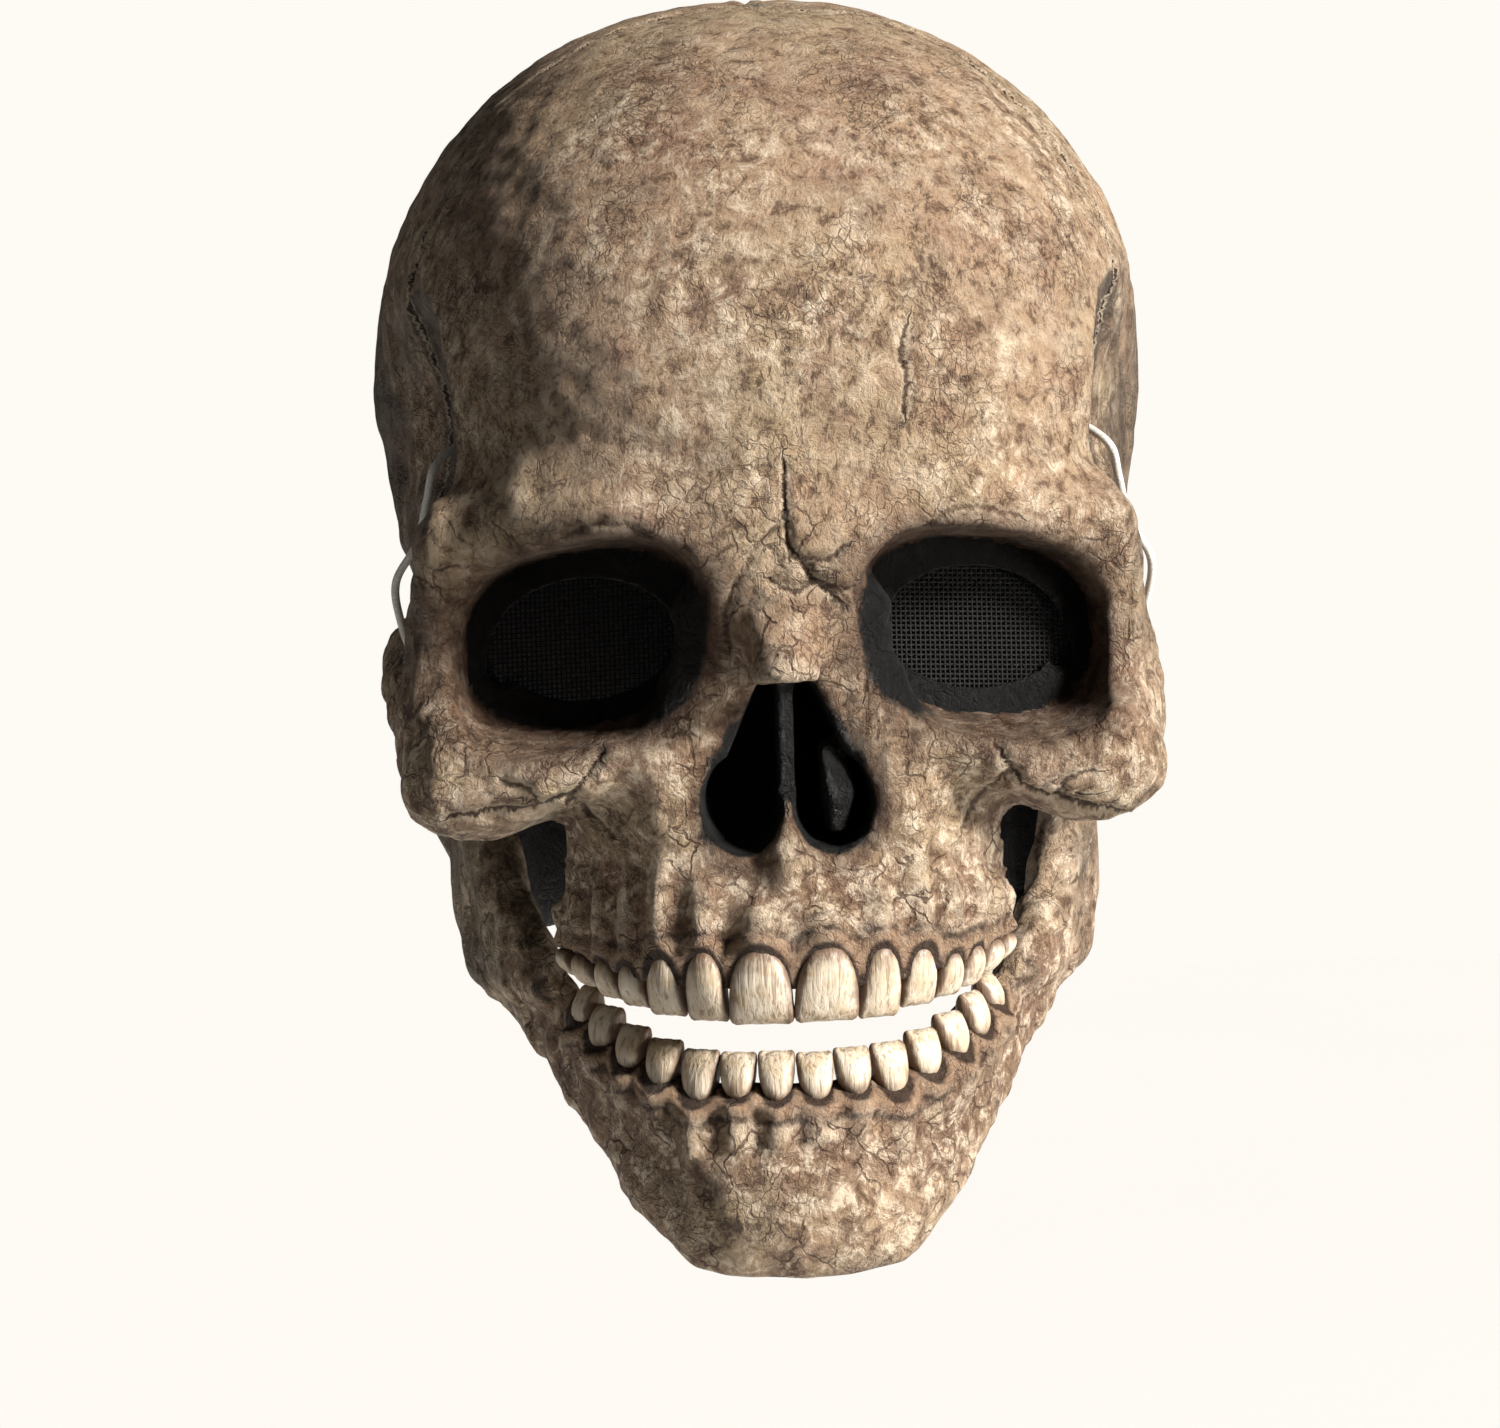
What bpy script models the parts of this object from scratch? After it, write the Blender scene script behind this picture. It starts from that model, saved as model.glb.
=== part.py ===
"""Full-head skull mask: a hollow skull of cast latex and its separate lower jaw.

The skull is one casting, with the upper teeth in it. It covers the wearer's head down to
the nape, and its sides stop under the cheekbones. The jaw is a second casting with the
lower teeth, whose two upright branches go up inside the skull. An elastic cord on each side
hangs the jaw from the temple. A piece of black gauze is glued behind each eye hole.

Frame: metres, +Z up, the face looks along -Y, and the origin is the inside of the crown,
where the mask sits on a head.
"""

import bpy
import numpy as np
import openvdb
from mathutils import Matrix, Vector

MM = 0.001

# The skull's main sizes
SKULL_WIDTH = 193 * MM
FACE_REACH = 118 * MM
BACK_REACH = 126 * MM
TOOTH_DROP = 235 * MM
NAPE_DROP = 232 * MM
CHEEK_RIM_DROP = 169 * MM
WALL = 3 * MM

# Eye sockets, and the holes that the wearer looks through
SOCKET_WIDTH = 65 * MM
SOCKET_HEIGHT = 51 * MM
SOCKET_SPACING = 0.508 * SKULL_WIDTH
SOCKET_DEPTH = 27 * MM
EYE_HOLE_WIDTH = 43 * MM
EYE_HOLE_HEIGHT = 29 * MM
EYE_HOLE_SPACING = 0.477 * SKULL_WIDTH
EYE_HOLE_SLANT = 0.06
GAUZE_OVERLAP = 3.5 * MM
GAUZE_THICKNESS = 1 * MM
GLUE_GAP = 0.35 * MM

# Nose opening, a closed recess with a dividing wall
NOSE_WIDTH = 43 * MM
NOSE_HEIGHT = 39 * MM
NOSE_DEPTH = 30 * MM
SEPTUM = 4 * MM

# Teeth: the two arches, seen from above, and the crowns on them. The arches keep their
# place under the face, and the lower one bites inside the upper one.
UPPER_ARCH_WIDTH = 0.539 * SKULL_WIDTH
UPPER_ARCH_REACH = 0.458 * FACE_REACH
BITE_STEP = 3 * MM
LOWER_ARCH_WIDTH = UPPER_ARCH_WIDTH - 2 * BITE_STEP
LOWER_ARCH_REACH = UPPER_ARCH_REACH - BITE_STEP
UPPER_ROW_SHARE = 0.888
LOWER_ROW_SHARE = 0.866
UPPER_CROWN = 18 * MM
LOWER_CROWN = 11.5 * MM
TOOTH_THICKNESS = 8 * MM
TOOTH_GAP = 0.6 * MM
MOUTH_GAP = 8.5 * MM

# The lower jaw, whose branches keep their place inside the cheeks
JAW_WIDTH = 0.829 * SKULL_WIDTH
CHIN_DROP = 298 * MM
RAMUS_THICKNESS = 12 * MM
JAW_GUM_THICKNESS = 13 * MM
JAW_GUM_COVER = 4 * MM

# Roundings where forms run into each other
CHEEK_ROUNDING = 18 * MM
NOTCH_ROUNDING = 12 * MM
JAW_ROUNDING = 6 * MM
ROOT_ROUNDING = 2.5 * MM
SKULL_SOFTNESS = 5 * MM
JAW_SOFTNESS = 1 * MM

# Elastic cords
CORD_DIAMETER = 2 * MM
CORD_HOLE = 3.2 * MM
KNOT_DIAMETER = 5.6 * MM

# Fineness of the castings
GRID_STEP = 1.75 * MM
SKULL_FACES = 4600
JAW_FACES = 1640
OUTER_CARE = 1e-5
FAR = 60 * MM

HALF_WIDTH = SKULL_WIDTH / 2
SKULL_HEIGHT = TOOTH_DROP
JAW_HALF = JAW_WIDTH / 2


def place(across, fore, down):
    """A point from shares of the half width, the face's reach and the skull's height."""
    return np.array((across * HALF_WIDTH, -fore * FACE_REACH, -down * SKULL_HEIGHT))


def soft_min(a, b, blend):
    """The smaller of two distances, with the crease between them filled over blend."""
    if blend <= 0:
        return np.minimum(a, b)
    share = np.clip(0.5 + 0.5 * (b - a) / blend, 0, 1)
    return b + (a - b) * share - blend * share * (1 - share)


def soft_max(a, b, blend):
    """The larger of two distances, with the edge between them rounded over blend."""
    return -soft_min(-a, -b, blend)


class Clay:
    """A block of space that knows, at each grid point, how far away the surface is.

    Distances are negative inside the material. Every form is added or carved in a window
    around itself, on both sides of the face at once, because forms read |x|.
    """

    def __init__(self, low, high, step):
        self.low = np.array(low, float)
        self.step = step
        count = np.ceil((np.array(high) - self.low) / step).astype(int) + 1
        axes = [self.low[i] + step * np.arange(count[i]) for i in range(3)]
        self.x, self.y, self.z = np.meshgrid(*axes, indexing="ij", sparse=True)
        self.distance = np.full(count, FAR, dtype=np.float32)

    def window(self, box):
        """Slices that hold a form's box, and the box mirrored to the other side."""
        low, high = np.array(box[0]), np.array(box[1])
        reach = max(abs(low[0]), abs(high[0]))
        low, high = low.copy(), high.copy()
        low[0], high[0] = -reach, reach
        first = np.maximum(np.floor((low - self.low) / self.step).astype(int), 0)
        last = np.ceil((high - self.low) / self.step).astype(int) + 1
        return tuple(slice(a, max(a, b)) for a, b in zip(first, last))

    def sample(self, form, blend):
        box, measure = form
        margin = blend + 2 * WALL + 2 * self.step
        at = self.window((np.array(box[0]) - margin, np.array(box[1]) + margin))
        x, y, z = self.x[at[0]], self.y[:, at[1]], self.z[:, :, at[2]]
        return at, measure(np.abs(x), y, z)

    def add(self, form, blend=0.0):
        at, found = self.sample(form, blend)
        self.distance[at] = soft_min(self.distance[at], found, blend)

    def carve(self, form, blend=0.0):
        at, found = self.sample(form, blend)
        self.distance[at] = -soft_min(-self.distance[at], found, blend)


def ellipsoid(centre, radii, lean=None):
    """An ellipsoid. lean is a rotation matrix that turns it about its centre."""
    centre, radii = np.array(centre), np.array(radii)
    turn = np.array(lean) if lean is not None else np.eye(3)
    span = np.abs(turn) @ radii

    def measure(x, y, z):
        p = (x - centre[0], y - centre[1], z - centre[2])
        q = [sum(turn[j, i] * p[j] for j in range(3)) / radii[i] for i in range(3)]
        near = np.sqrt(q[0] ** 2 + q[1] ** 2 + q[2] ** 2) + 1e-6
        slope = sum((q[i] / radii[i]) ** 2 for i in range(3))
        return near * (near - 1) / (np.sqrt(slope) + 1e-6)

    return (centre - span, centre + span), measure


def rope(points, radii):
    """A round bar through the points, whose radius changes from each point to the next."""
    points = [np.array(p, float) for p in points]
    most = max(radii)
    low = np.min(points, axis=0) - most
    high = np.max(points, axis=0) + most

    def measure(x, y, z):
        found = None
        for a, b, ra, rb in zip(points, points[1:], radii, radii[1:]):
            run = b - a
            t = ((x - a[0]) * run[0] + (y - a[1]) * run[1] + (z - a[2]) * run[2]) / (run @ run)
            t = np.clip(t, 0, 1)
            away = np.sqrt(
                (x - a[0] - t * run[0]) ** 2
                + (y - a[1] - t * run[1]) ** 2
                + (z - a[2] - t * run[2]) ** 2
            )
            away = away - (ra + t * (rb - ra))
            found = away if found is None else np.minimum(found, away)
        return found

    return (low, high), measure


def sheet_between(first, second, radii, count):
    """Ropes spaced evenly from one line of points to another, which blend into a plate."""
    for share in np.linspace(0, 1, count):
        line = [np.array(a) * (1 - share) + np.array(b) * share for a, b in zip(first, second)]
        yield rope(line, [a * (1 - share) + b * share for a, b in zip(*radii)])


# The skull's body, from the crown down: sections seen from above. Columns: how far below
# the crown, as a share of the skull's height; the half width, as a share of the skull's;
# and how far the front and the back reach, as shares of the face's and back's reach.
VAULT_SECTIONS = (
    # down, half_width, front, back
    (0.40, 1.000, 0.985, 1.00),
    (0.53, 0.945, 0.950, 0.985),
    (0.66, 0.850, 0.840, 0.89),
    (0.79, 0.760, 0.740, 0.76),
    (0.92, 0.690, 0.700, 0.665),
    (1.05, 0.660, 0.700, 0.62),
)
VAULT_CENTRE = 0.10
VAULT_SQUARE = 2.30
DOME_SQUARE = 2.15

# The middle of the face, from the brow down to the teeth, as above.
FACE_SECTIONS = (
    # down, half_width, front
    (0.43, 0.600, 0.780),
    (0.51, 0.740, 0.900),
    (0.58, 0.770, 0.905),
    (0.70, 0.700, 0.850),
    (0.79, 0.625, 0.855),
    (0.86, 0.600, 0.885),
    (0.92, 0.580, 0.910),
    (1.04, 0.555, 0.905),
)
FACE_CENTRE = 0.36
FACE_SQUARE = 2.35


def by_height(z, rows, column, size):
    """A column of a section table at height z, smoothed between its rows."""
    down = np.array([row[0] for row in rows]) * SKULL_HEIGHT
    values = np.array([row[column] for row in rows]) * size
    fine = np.linspace(down[0], down[-1], 200)
    stepped = np.interp(fine, down, values)
    soft = np.convolve(np.pad(stepped, 12, mode="edge"), np.ones(25) / 25, mode="valid")
    return np.interp(-z, fine, soft)


def steepness(field, step):
    """How fast the field rises, so that dividing by it makes distances of it."""
    rise = np.gradient(field, step)
    return np.sqrt(rise[0] ** 2 + rise[1] ** 2 + rise[2] ** 2) + 1e-6


def vault(clay):
    """The braincase, whose sections are squared ovals under a rounded dome."""
    x, y, z = clay.x, clay.y, clay.z
    half = by_height(z, VAULT_SECTIONS, 1, HALF_WIDTH)
    front = by_height(z, VAULT_SECTIONS, 2, FACE_REACH)
    back = by_height(z, VAULT_SECTIONS, 3, BACK_REACH)
    centre = VAULT_CENTRE * BACK_REACH
    along = np.where(y < centre, (centre - y) / (front + centre), (y - centre) / (back - centre))
    oval = (np.abs(x) / half) ** VAULT_SQUARE + along**VAULT_SQUARE
    oval = oval ** (1 / VAULT_SQUARE)
    widest = -VAULT_SECTIONS[0][0] * SKULL_HEIGHT
    rise = np.clip((z - widest) / (WALL - widest), 0, None)
    field = (oval**DOME_SQUARE + rise**DOME_SQUARE) ** (1 / DOME_SQUARE) - 1
    return field / steepness(field, clay.step)


def face_block(clay):
    """The upright block behind the eyes, nose and upper teeth."""
    x, y, z = clay.x, clay.y, clay.z
    half = by_height(z, FACE_SECTIONS, 1, HALF_WIDTH)
    front = by_height(z, FACE_SECTIONS, 2, FACE_REACH)
    centre = -FACE_CENTRE * FACE_REACH
    along = np.abs(y - centre) / (front + centre)
    oval = (np.abs(x) / half) ** FACE_SQUARE + along**FACE_SQUARE
    field = oval ** (1 / FACE_SQUARE) - 1
    field = field / steepness(field + 0 * clay.distance, clay.step)
    top = -FACE_SECTIONS[0][0] * SKULL_HEIGHT
    return np.maximum(field, z - top)


def tilt(degrees, axis):
    """A turn about X, Y or Z."""
    return np.array(Matrix.Rotation(np.radians(degrees), 3, axis))


def add_brow_and_cheeks(clay):
    """Brow ridges, the outer rims of the sockets, cheekbones and arches."""
    w = HALF_WIDTH
    brow = (
        place(0.15, 0.900, 0.530),
        place(0.36, 0.880, 0.500),
        place(0.58, 0.790, 0.492),
        place(0.775, 0.655, 0.515),
    )
    clay.add(rope(brow, (0.09 * w, 0.09 * w, 0.09 * w, 0.09 * w)), 0.15 * w)
    clay.add(ellipsoid(place(0, 0.885, 0.490), (0.20 * w, 0.13 * w, 0.14 * w)), 0.12 * w)
    outer_rim = (
        place(0.790, 0.690, 0.520),
        place(0.835, 0.625, 0.600),
        place(0.825, 0.620, 0.690),
    )
    clay.add(rope(outer_rim, (0.09 * w, 0.075 * w, 0.11 * w)), 0.06 * w)
    cheek = ellipsoid(
        place(0.735, 0.660, 0.760),
        (0.215 * w, 0.150 * w, 0.150 * w),
        tilt(-32, "Z") @ tilt(8, "Y"),
    )
    clay.add(cheek, 0.12 * w)
    lower_rim = (
        place(0.36, 0.815, 0.725),
        place(0.58, 0.795, 0.745),
        place(0.74, 0.720, 0.735),
    )
    clay.add(rope(lower_rim, (0.07 * w, 0.09 * w, 0.11 * w)), 0.15 * w)
    arch = (
        place(0.810, 0.560, 0.730),
        place(0.845, 0.320, 0.705),
        place(0.860, 0.060, 0.675),
        place(0.800, -0.200, 0.660),
    )
    clay.add(rope(arch, (0.14 * w, 0.135 * w, 0.135 * w, 0.14 * w)), 0.07 * w)
    mastoid = (place(0.800, -0.260, 0.700), place(0.745, -0.230, 0.850), place(0.705, -0.200, 0.930))
    clay.add(rope(mastoid, (0.15 * w, 0.14 * w, 0.10 * w)), 0.10 * w)


def add_nose(clay):
    """The bridge of the nose, and the recess below it with its dividing wall."""
    w = HALF_WIDTH
    bridge = (
        place(0, 0.86, 0.555),
        place(0, 0.905, 0.610),
        place(0, 0.975, 0.652),
    )
    clay.add(rope(bridge, (0.10 * w, 0.095 * w, 0.080 * w)), 0.09 * w)
    flanks = (
        place(0.20, 0.800, 0.600),
        place(0.24, 0.790, 0.700),
        place(0.28, 0.800, 0.800),
    )
    clay.add(rope(flanks, (0.07 * w, 0.075 * w, 0.08 * w)), 0.08 * w)
    spine = (place(0, 0.88, 0.835), place(0, 0.86, 0.900))
    clay.add(rope(spine, (0.045 * w, 0.05 * w)), 0.06 * w)
    clay.carve(nose_recess(), 0.015 * w)
    clay.add(septum(), 0.02 * w)


NOSE_TOP = 0.658
NOSE_FRONT = 0.96


def nose_recess():
    """A pear-shaped hole seen from the front, with two lobes below and a closed back."""
    top = -NOSE_TOP * SKULL_HEIGHT
    half = NOSE_WIDTH / 2
    floor = -NOSE_FRONT * FACE_REACH + NOSE_DEPTH
    lobe_drop = 0.76 * NOSE_HEIGHT

    def measure(x, y, z):
        down = top - z
        lobe = np.sqrt(((x - 0.50 * half) / 0.50) ** 2 + ((down - lobe_drop) / 0.62) ** 2)
        lobe = (lobe - half) * 0.52
        neck = np.clip(down / lobe_drop, 0, 1)
        side = 0.30 * half + 0.62 * half * neck**0.85
        throat = np.maximum(x - side, np.maximum(-down, down - lobe_drop))
        pear = np.minimum(lobe, throat)
        narrowing = 0.10 * (y - floor + NOSE_DEPTH)
        return np.maximum(pear + np.maximum(narrowing, -0.1 * half), y - floor)

    low = np.array((-half, -1.2 * FACE_REACH, top - NOSE_HEIGHT))
    high = np.array((half, floor, top))
    return (low, high), measure


def septum():
    """The thin upright wall inside the nose, set back from the rim."""
    top = -NOSE_TOP * SKULL_HEIGHT
    front = -NOSE_FRONT * FACE_REACH + 0.42 * NOSE_DEPTH
    back = -NOSE_FRONT * FACE_REACH + NOSE_DEPTH + WALL
    low = np.array((0, front, top - NOSE_HEIGHT))
    high = np.array((SEPTUM / 2, back, top + 2 * WALL))

    def measure(x, y, z):
        return np.maximum(
            np.maximum(x - high[0], front + 0.18 * (top - z) - y),
            np.maximum(y - back, np.maximum(low[2] - z, z - high[2])),
        )

    return (low, high), measure


SOCKET_DOWN = 0.624
SOCKET_FRONT = 0.90
SOCKET_SQUARE = 2.6
SOCKET_TURN = 0.24


def socket_floor(x):
    """Where the socket's floor lies: it turns outwards with the face."""
    floor = SOCKET_DEPTH - SOCKET_FRONT * FACE_REACH
    return floor + SOCKET_TURN * (x - EYE_HOLE_SPACING / 2)


def socket():
    """The eye socket: a rounded, outward-drooping opening that narrows to a floor."""
    centre_x = SOCKET_SPACING / 2
    centre_z = -SOCKET_DOWN * SKULL_HEIGHT
    floor = socket_floor(centre_x)

    def measure(x, y, z):
        inward = np.clip((y - socket_floor(x)) / SOCKET_DEPTH + 1, -0.6, 1)
        slide = inward * (EYE_HOLE_SPACING / 2 - centre_x)
        half_x = SOCKET_WIDTH / 2 * (1 - 0.13 * inward)
        half_z = SOCKET_HEIGHT / 2 * (1 - 0.20 * inward)
        droop = 0.14 * (x - centre_x)
        u = np.abs(x - centre_x - slide) / half_x
        v = np.abs(z - centre_z + droop) / half_z
        ring = (u**SOCKET_SQUARE + v**SOCKET_SQUARE) ** (1 / SOCKET_SQUARE)
        return np.maximum((ring - 1) * np.minimum(half_x, half_z), y - socket_floor(x))

    half = np.array((SOCKET_WIDTH / 2, SOCKET_TURN * SOCKET_WIDTH / 2, SOCKET_HEIGHT * 0.7))
    low = np.array((centre_x, -1.2 * FACE_REACH, centre_z)) - half
    high = np.array((centre_x, floor, centre_z)) + half
    return (low, high), measure


def eye_hole(grow=0.0, start=-0.5 * SOCKET_DEPTH, end=3 * WALL):
    """The hole in the socket's floor. grow widens it, and start and end are measured
    from the floor along the way that the wearer looks in."""
    centre_x = EYE_HOLE_SPACING / 2
    centre_z = -SOCKET_DOWN * SKULL_HEIGHT
    half_x = EYE_HOLE_WIDTH / 2 + grow
    half_z = EYE_HOLE_HEIGHT / 2 + grow
    floor = socket_floor(centre_x)

    def measure(x, y, z):
        u = np.abs(x - centre_x) / half_x
        v = np.abs(z - centre_z + EYE_HOLE_SLANT * (x - centre_x)) / half_z
        ring = (np.sqrt(u**2 + v**2) - 1) * half_z
        along = np.abs(y - socket_floor(x) - (start + end) / 2) - (end - start) / 2
        return np.maximum(ring, along)

    half = np.array((half_x, SOCKET_TURN * half_x, half_z * 1.2))
    low = np.array((centre_x, floor + start, centre_z)) - half
    high = np.array((centre_x, floor + end, centre_z)) + half
    return (low, high), measure


def add_hollows(clay):
    """Temples, the dips beside the nose and the hollows under the cheekbones."""
    w = HALF_WIDTH
    temple = ellipsoid(place(1.02, 0.500, 0.425), (0.27 * w, 0.34 * w, 0.46 * w))
    clay.carve(temple, 0.02 * w)
    clay.carve(ellipsoid(place(1.10, 0.250, 0.420), (0.22 * w, 0.40 * w, 0.40 * w)), 0.12 * w)
    clay.carve(ellipsoid(place(1.00, 0.310, 0.570), (0.20 * w, 0.230 * w, 0.20 * w)), 0.05 * w)
    clay.carve(ellipsoid(place(0.40, 1.000, 0.800), (0.12 * w, 0.160 * w, 0.13 * w)), 0.09 * w)
    clay.carve(ellipsoid(place(0.80, 0.800, 0.930), (0.21 * w, 0.260 * w, 0.20 * w)), 0.06 * w)
    behind_rim = ellipsoid(place(0.785, 0.545, 0.604), (0.083 * w, 0.115 * w, 0.24 * w))
    clay.add(behind_rim, 0.03 * w)
    clay.carve(socket(), 0.02 * w)


# Teeth of one side, from the middle outwards. Columns: the share of the row's length that
# a tooth takes, its crown's height as a share of the tallest, how far its edge is lifted,
# as a share of the tallest crown, and its root ridge's length, as a share of the same.
UPPER_TEETH = (
    # width, height, lift, root
    (0.205, 1.00, 0.00, 0.60),
    (0.140, 0.94, 0.02, 0.95),
    (0.135, 0.84, 0.08, 1.35),
    (0.115, 0.62, 0.14, 1.10),
    (0.115, 0.56, 0.21, 1.00),
    (0.145, 0.46, 0.30, 0.85),
    (0.145, 0.38, 0.38, 0.70),
)
LOWER_TEETH = (
    # width, height, lift, root
    (0.130, 1.00, 0.00, 0.90),
    (0.130, 0.96, 0.02, 1.00),
    (0.140, 1.12, 0.06, 1.30),
    (0.140, 0.98, 0.20, 1.00),
    (0.145, 0.92, 0.44, 0.80),
    (0.160, 0.86, 0.72, 0.60),
    (0.155, 0.80, 1.00, 0.50),
)
ARCH_CENTRE = 0.43


def arch_point(distance, half_width, reach, back):
    """A point on the tooth arch, a half oval, and its outward direction there."""
    angles = np.linspace(0, np.pi / 2, 400)
    xs, ys = half_width * np.sin(angles), -back - reach * np.cos(angles)
    run = np.concatenate(([0], np.cumsum(np.hypot(np.diff(xs), np.diff(ys)))))
    t = np.interp(distance, run, angles)
    outward = np.array((np.sin(t) / half_width, -np.cos(t) / reach))
    outward = outward / np.linalg.norm(outward)
    return np.array((half_width * np.sin(t), -back - reach * np.cos(t))), outward


def arch_length(half_width, reach):
    """How long one side of a tooth arch is."""
    angles = np.linspace(0, np.pi / 2, 400)
    return np.hypot(np.diff(half_width * np.sin(angles)), np.diff(reach * np.cos(angles))).sum()


def teeth(table, row_share, half_width, reach, crown, edge_height, sign):
    """Where each tooth of one side stands. sign is 1 for a row that hangs, -1 for one that
    stands up, and row_share is the share of the arch that the row takes."""
    back = ARCH_CENTRE * FACE_REACH
    row_length = row_share * arch_length(half_width, reach)
    passed = 0.0
    for width, height, lift, root in table:
        span = width * row_length
        centre, outward = arch_point(passed + span / 2, half_width, reach, back)
        passed += span
        edge = edge_height + lift * crown
        gum = edge + sign * height * crown
        yield {
            "centre": centre,
            "outward": outward,
            "span": span,
            "edge": edge,
            "gum": gum,
            "root": gum + sign * root * crown,
        }


def upper_row():
    return teeth(
        UPPER_TEETH,
        UPPER_ROW_SHARE,
        UPPER_ARCH_WIDTH / 2,
        UPPER_ARCH_REACH,
        UPPER_CROWN,
        -TOOTH_DROP,
        1,
    )


def lower_row():
    return teeth(
        LOWER_TEETH,
        LOWER_ROW_SHARE,
        LOWER_ARCH_WIDTH / 2,
        LOWER_ARCH_REACH,
        LOWER_CROWN,
        -TOOTH_DROP - MOUTH_GAP,
        -1,
    )


def root_ridge(spot, lean):
    """The low ridge that a tooth's root raises in the bone. lean carries its far end back."""
    inset = 0.20 * TOOTH_THICKNESS
    near = spot["centre"] - inset * spot["outward"]
    far = spot["centre"] - (inset + lean) * spot["outward"]
    thick = 0.36 * spot["span"]
    return rope(((*near, spot["gum"]), (*far, spot["root"])), (thick, 0.45 * thick))


# A crown from its edge to its gum. Columns: how far up, as a share of the crown; its
# width, as a share of the tooth's; its thickness, as a share of the full one; and how far
# it leans out, as a share of the full thickness.
CROWN_SECTIONS = (
    # up, width, thick, lean
    (0.00, 0.88, 0.40, 0.02),
    (0.10, 0.98, 0.64, 0.06),
    (0.55, 0.98, 0.96, 0.14),
    (0.84, 0.74, 0.98, 0.14),
    (1.00, 0.34, 0.90, 0.06),
)
CROWN_ROOT = (None, 0.20, 0.60, -0.16)
ROOT_DEPTH = 3 * MM
CROWN_SIDES = 8


def crown_mesh(spot, sides, rows):
    """Points and faces of one crown, on the side of the face where x is positive."""
    along = np.array((-spot["outward"][1], spot["outward"][0]))
    full = spot["span"] - TOOTH_GAP
    points, faces = [], []
    sunk = np.sign(spot["gum"] - spot["edge"]) * ROOT_DEPTH
    heights = [spot["edge"] + row[0] * (spot["gum"] - spot["edge"]) for row in rows]
    for z, (_, width, thick, lean) in zip((*heights, spot["gum"] + sunk), (*rows, CROWN_ROOT)):
        middle = spot["centre"] + lean * TOOTH_THICKNESS * spot["outward"]
        for index in range(sides):
            turn = 2 * np.pi * (index + 0.5) / sides
            u = np.sign(np.cos(turn)) * abs(np.cos(turn)) ** 0.7
            v = np.sign(np.sin(turn)) * abs(np.sin(turn)) ** 0.7
            at = middle + 0.5 * full * width * u * along
            at = at + 0.5 * TOOTH_THICKNESS * thick * v * spot["outward"]
            points.append((at[0], at[1], z))
    for row in range(len(rows)):
        for index in range(sides):
            after = (index + 1) % sides
            a, b = row * sides + index, row * sides + after
            faces.append((a, b, b + sides, a + sides))
    faces.append(tuple(reversed(range(sides))))
    faces.append(tuple(range(len(points) - sides, len(points))))
    return points, faces


GUM_LINE = 0.970
GUM_RISE = 0.028
MAXILLA_BACK = 0.62
NAPE_FRONT = 0.10


def rim_cut(clay):
    """Positive below the skull's lower edge: the nape behind, the cheeks' rims at the
    sides, and the gum line in front."""
    y, z = clay.y, clay.z
    nape = -NAPE_DROP - z
    notch_front = y + MAXILLA_BACK * FACE_REACH + 0.60 * (z + 0.85 * SKULL_HEIGHT)
    notch_back = NAPE_FRONT * BACK_REACH + 0.10 * (z + NAPE_DROP) - y
    cheek = -CHEEK_RIM_DROP - 0.28 * (-y - 0.30 * FACE_REACH) - z
    notch = soft_max(-notch_front, -notch_back, NOTCH_ROUNDING)
    sides = soft_max(notch, -cheek, CHEEK_ROUNDING)
    rise = np.clip(1 + (y + 0.60 * FACE_REACH) / (0.30 * FACE_REACH), 0, 1)
    gum = -(GUM_LINE - GUM_RISE * rise) * SKULL_HEIGHT - z
    front = np.where(y < -0.5 * MAXILLA_BACK * FACE_REACH, gum, nape)
    return np.maximum(front, -sides)


def softened(field, cells):
    """The field averaged over a few grid cells each way, which rounds off its details."""
    for axis in range(3):
        margins = [(0, 0)] * 3
        margins[axis] = (cells, cells)
        padded = np.pad(field, margins, mode="edge")
        total = np.cumsum(padded, axis=axis, dtype=np.float64)
        total = np.insert(total, 0, 0, axis=axis)
        width = 2 * cells + 1
        ahead = np.take(total, np.arange(width, total.shape[axis]), axis=axis)
        behind = np.take(total, np.arange(0, total.shape[axis] - width), axis=axis)
        field = (ahead - behind) / width
    return field.astype(np.float32)


def hollow(clay, softness):
    """The space inside the body, a wall's thickness from its surface, with the body's
    small forms smoothed away inside."""
    cells = max(1, int(round(softness / clay.step)))
    return np.maximum(softened(clay.distance, cells), clay.distance) + WALL


def skull_clay(step):
    """The skull casting without its teeth: a body hollowed to a wall, and open below."""
    half = np.ceil(1.10 * HALF_WIDTH / step) * step
    low = (-half, -1.12 * FACE_REACH, -1.08 * SKULL_HEIGHT)
    high = (half, 1.06 * BACK_REACH, 4 * WALL)
    clay = Clay(low, high, step)
    clay.distance[:] = vault(clay)
    clay.distance[:] = soft_min(clay.distance, face_block(clay), 0.10 * HALF_WIDTH)
    add_brow_and_cheeks(clay)
    add_hollows(clay)
    add_nose(clay)
    for spot in upper_row():
        clay.add(root_ridge(spot, 0.1 * TOOTH_THICKNESS), 0.03 * HALF_WIDTH)
    inside = hollow(clay, SKULL_SOFTNESS)
    clay.distance[:] = np.maximum(clay.distance, rim_cut(clay))
    clay.distance[:] = np.maximum(clay.distance, -inside)
    clay.carve(eye_hole(GAUZE_OVERLAP + WALL, WALL, 5 * WALL))
    clay.carve(eye_hole())
    return clay, inside


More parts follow.
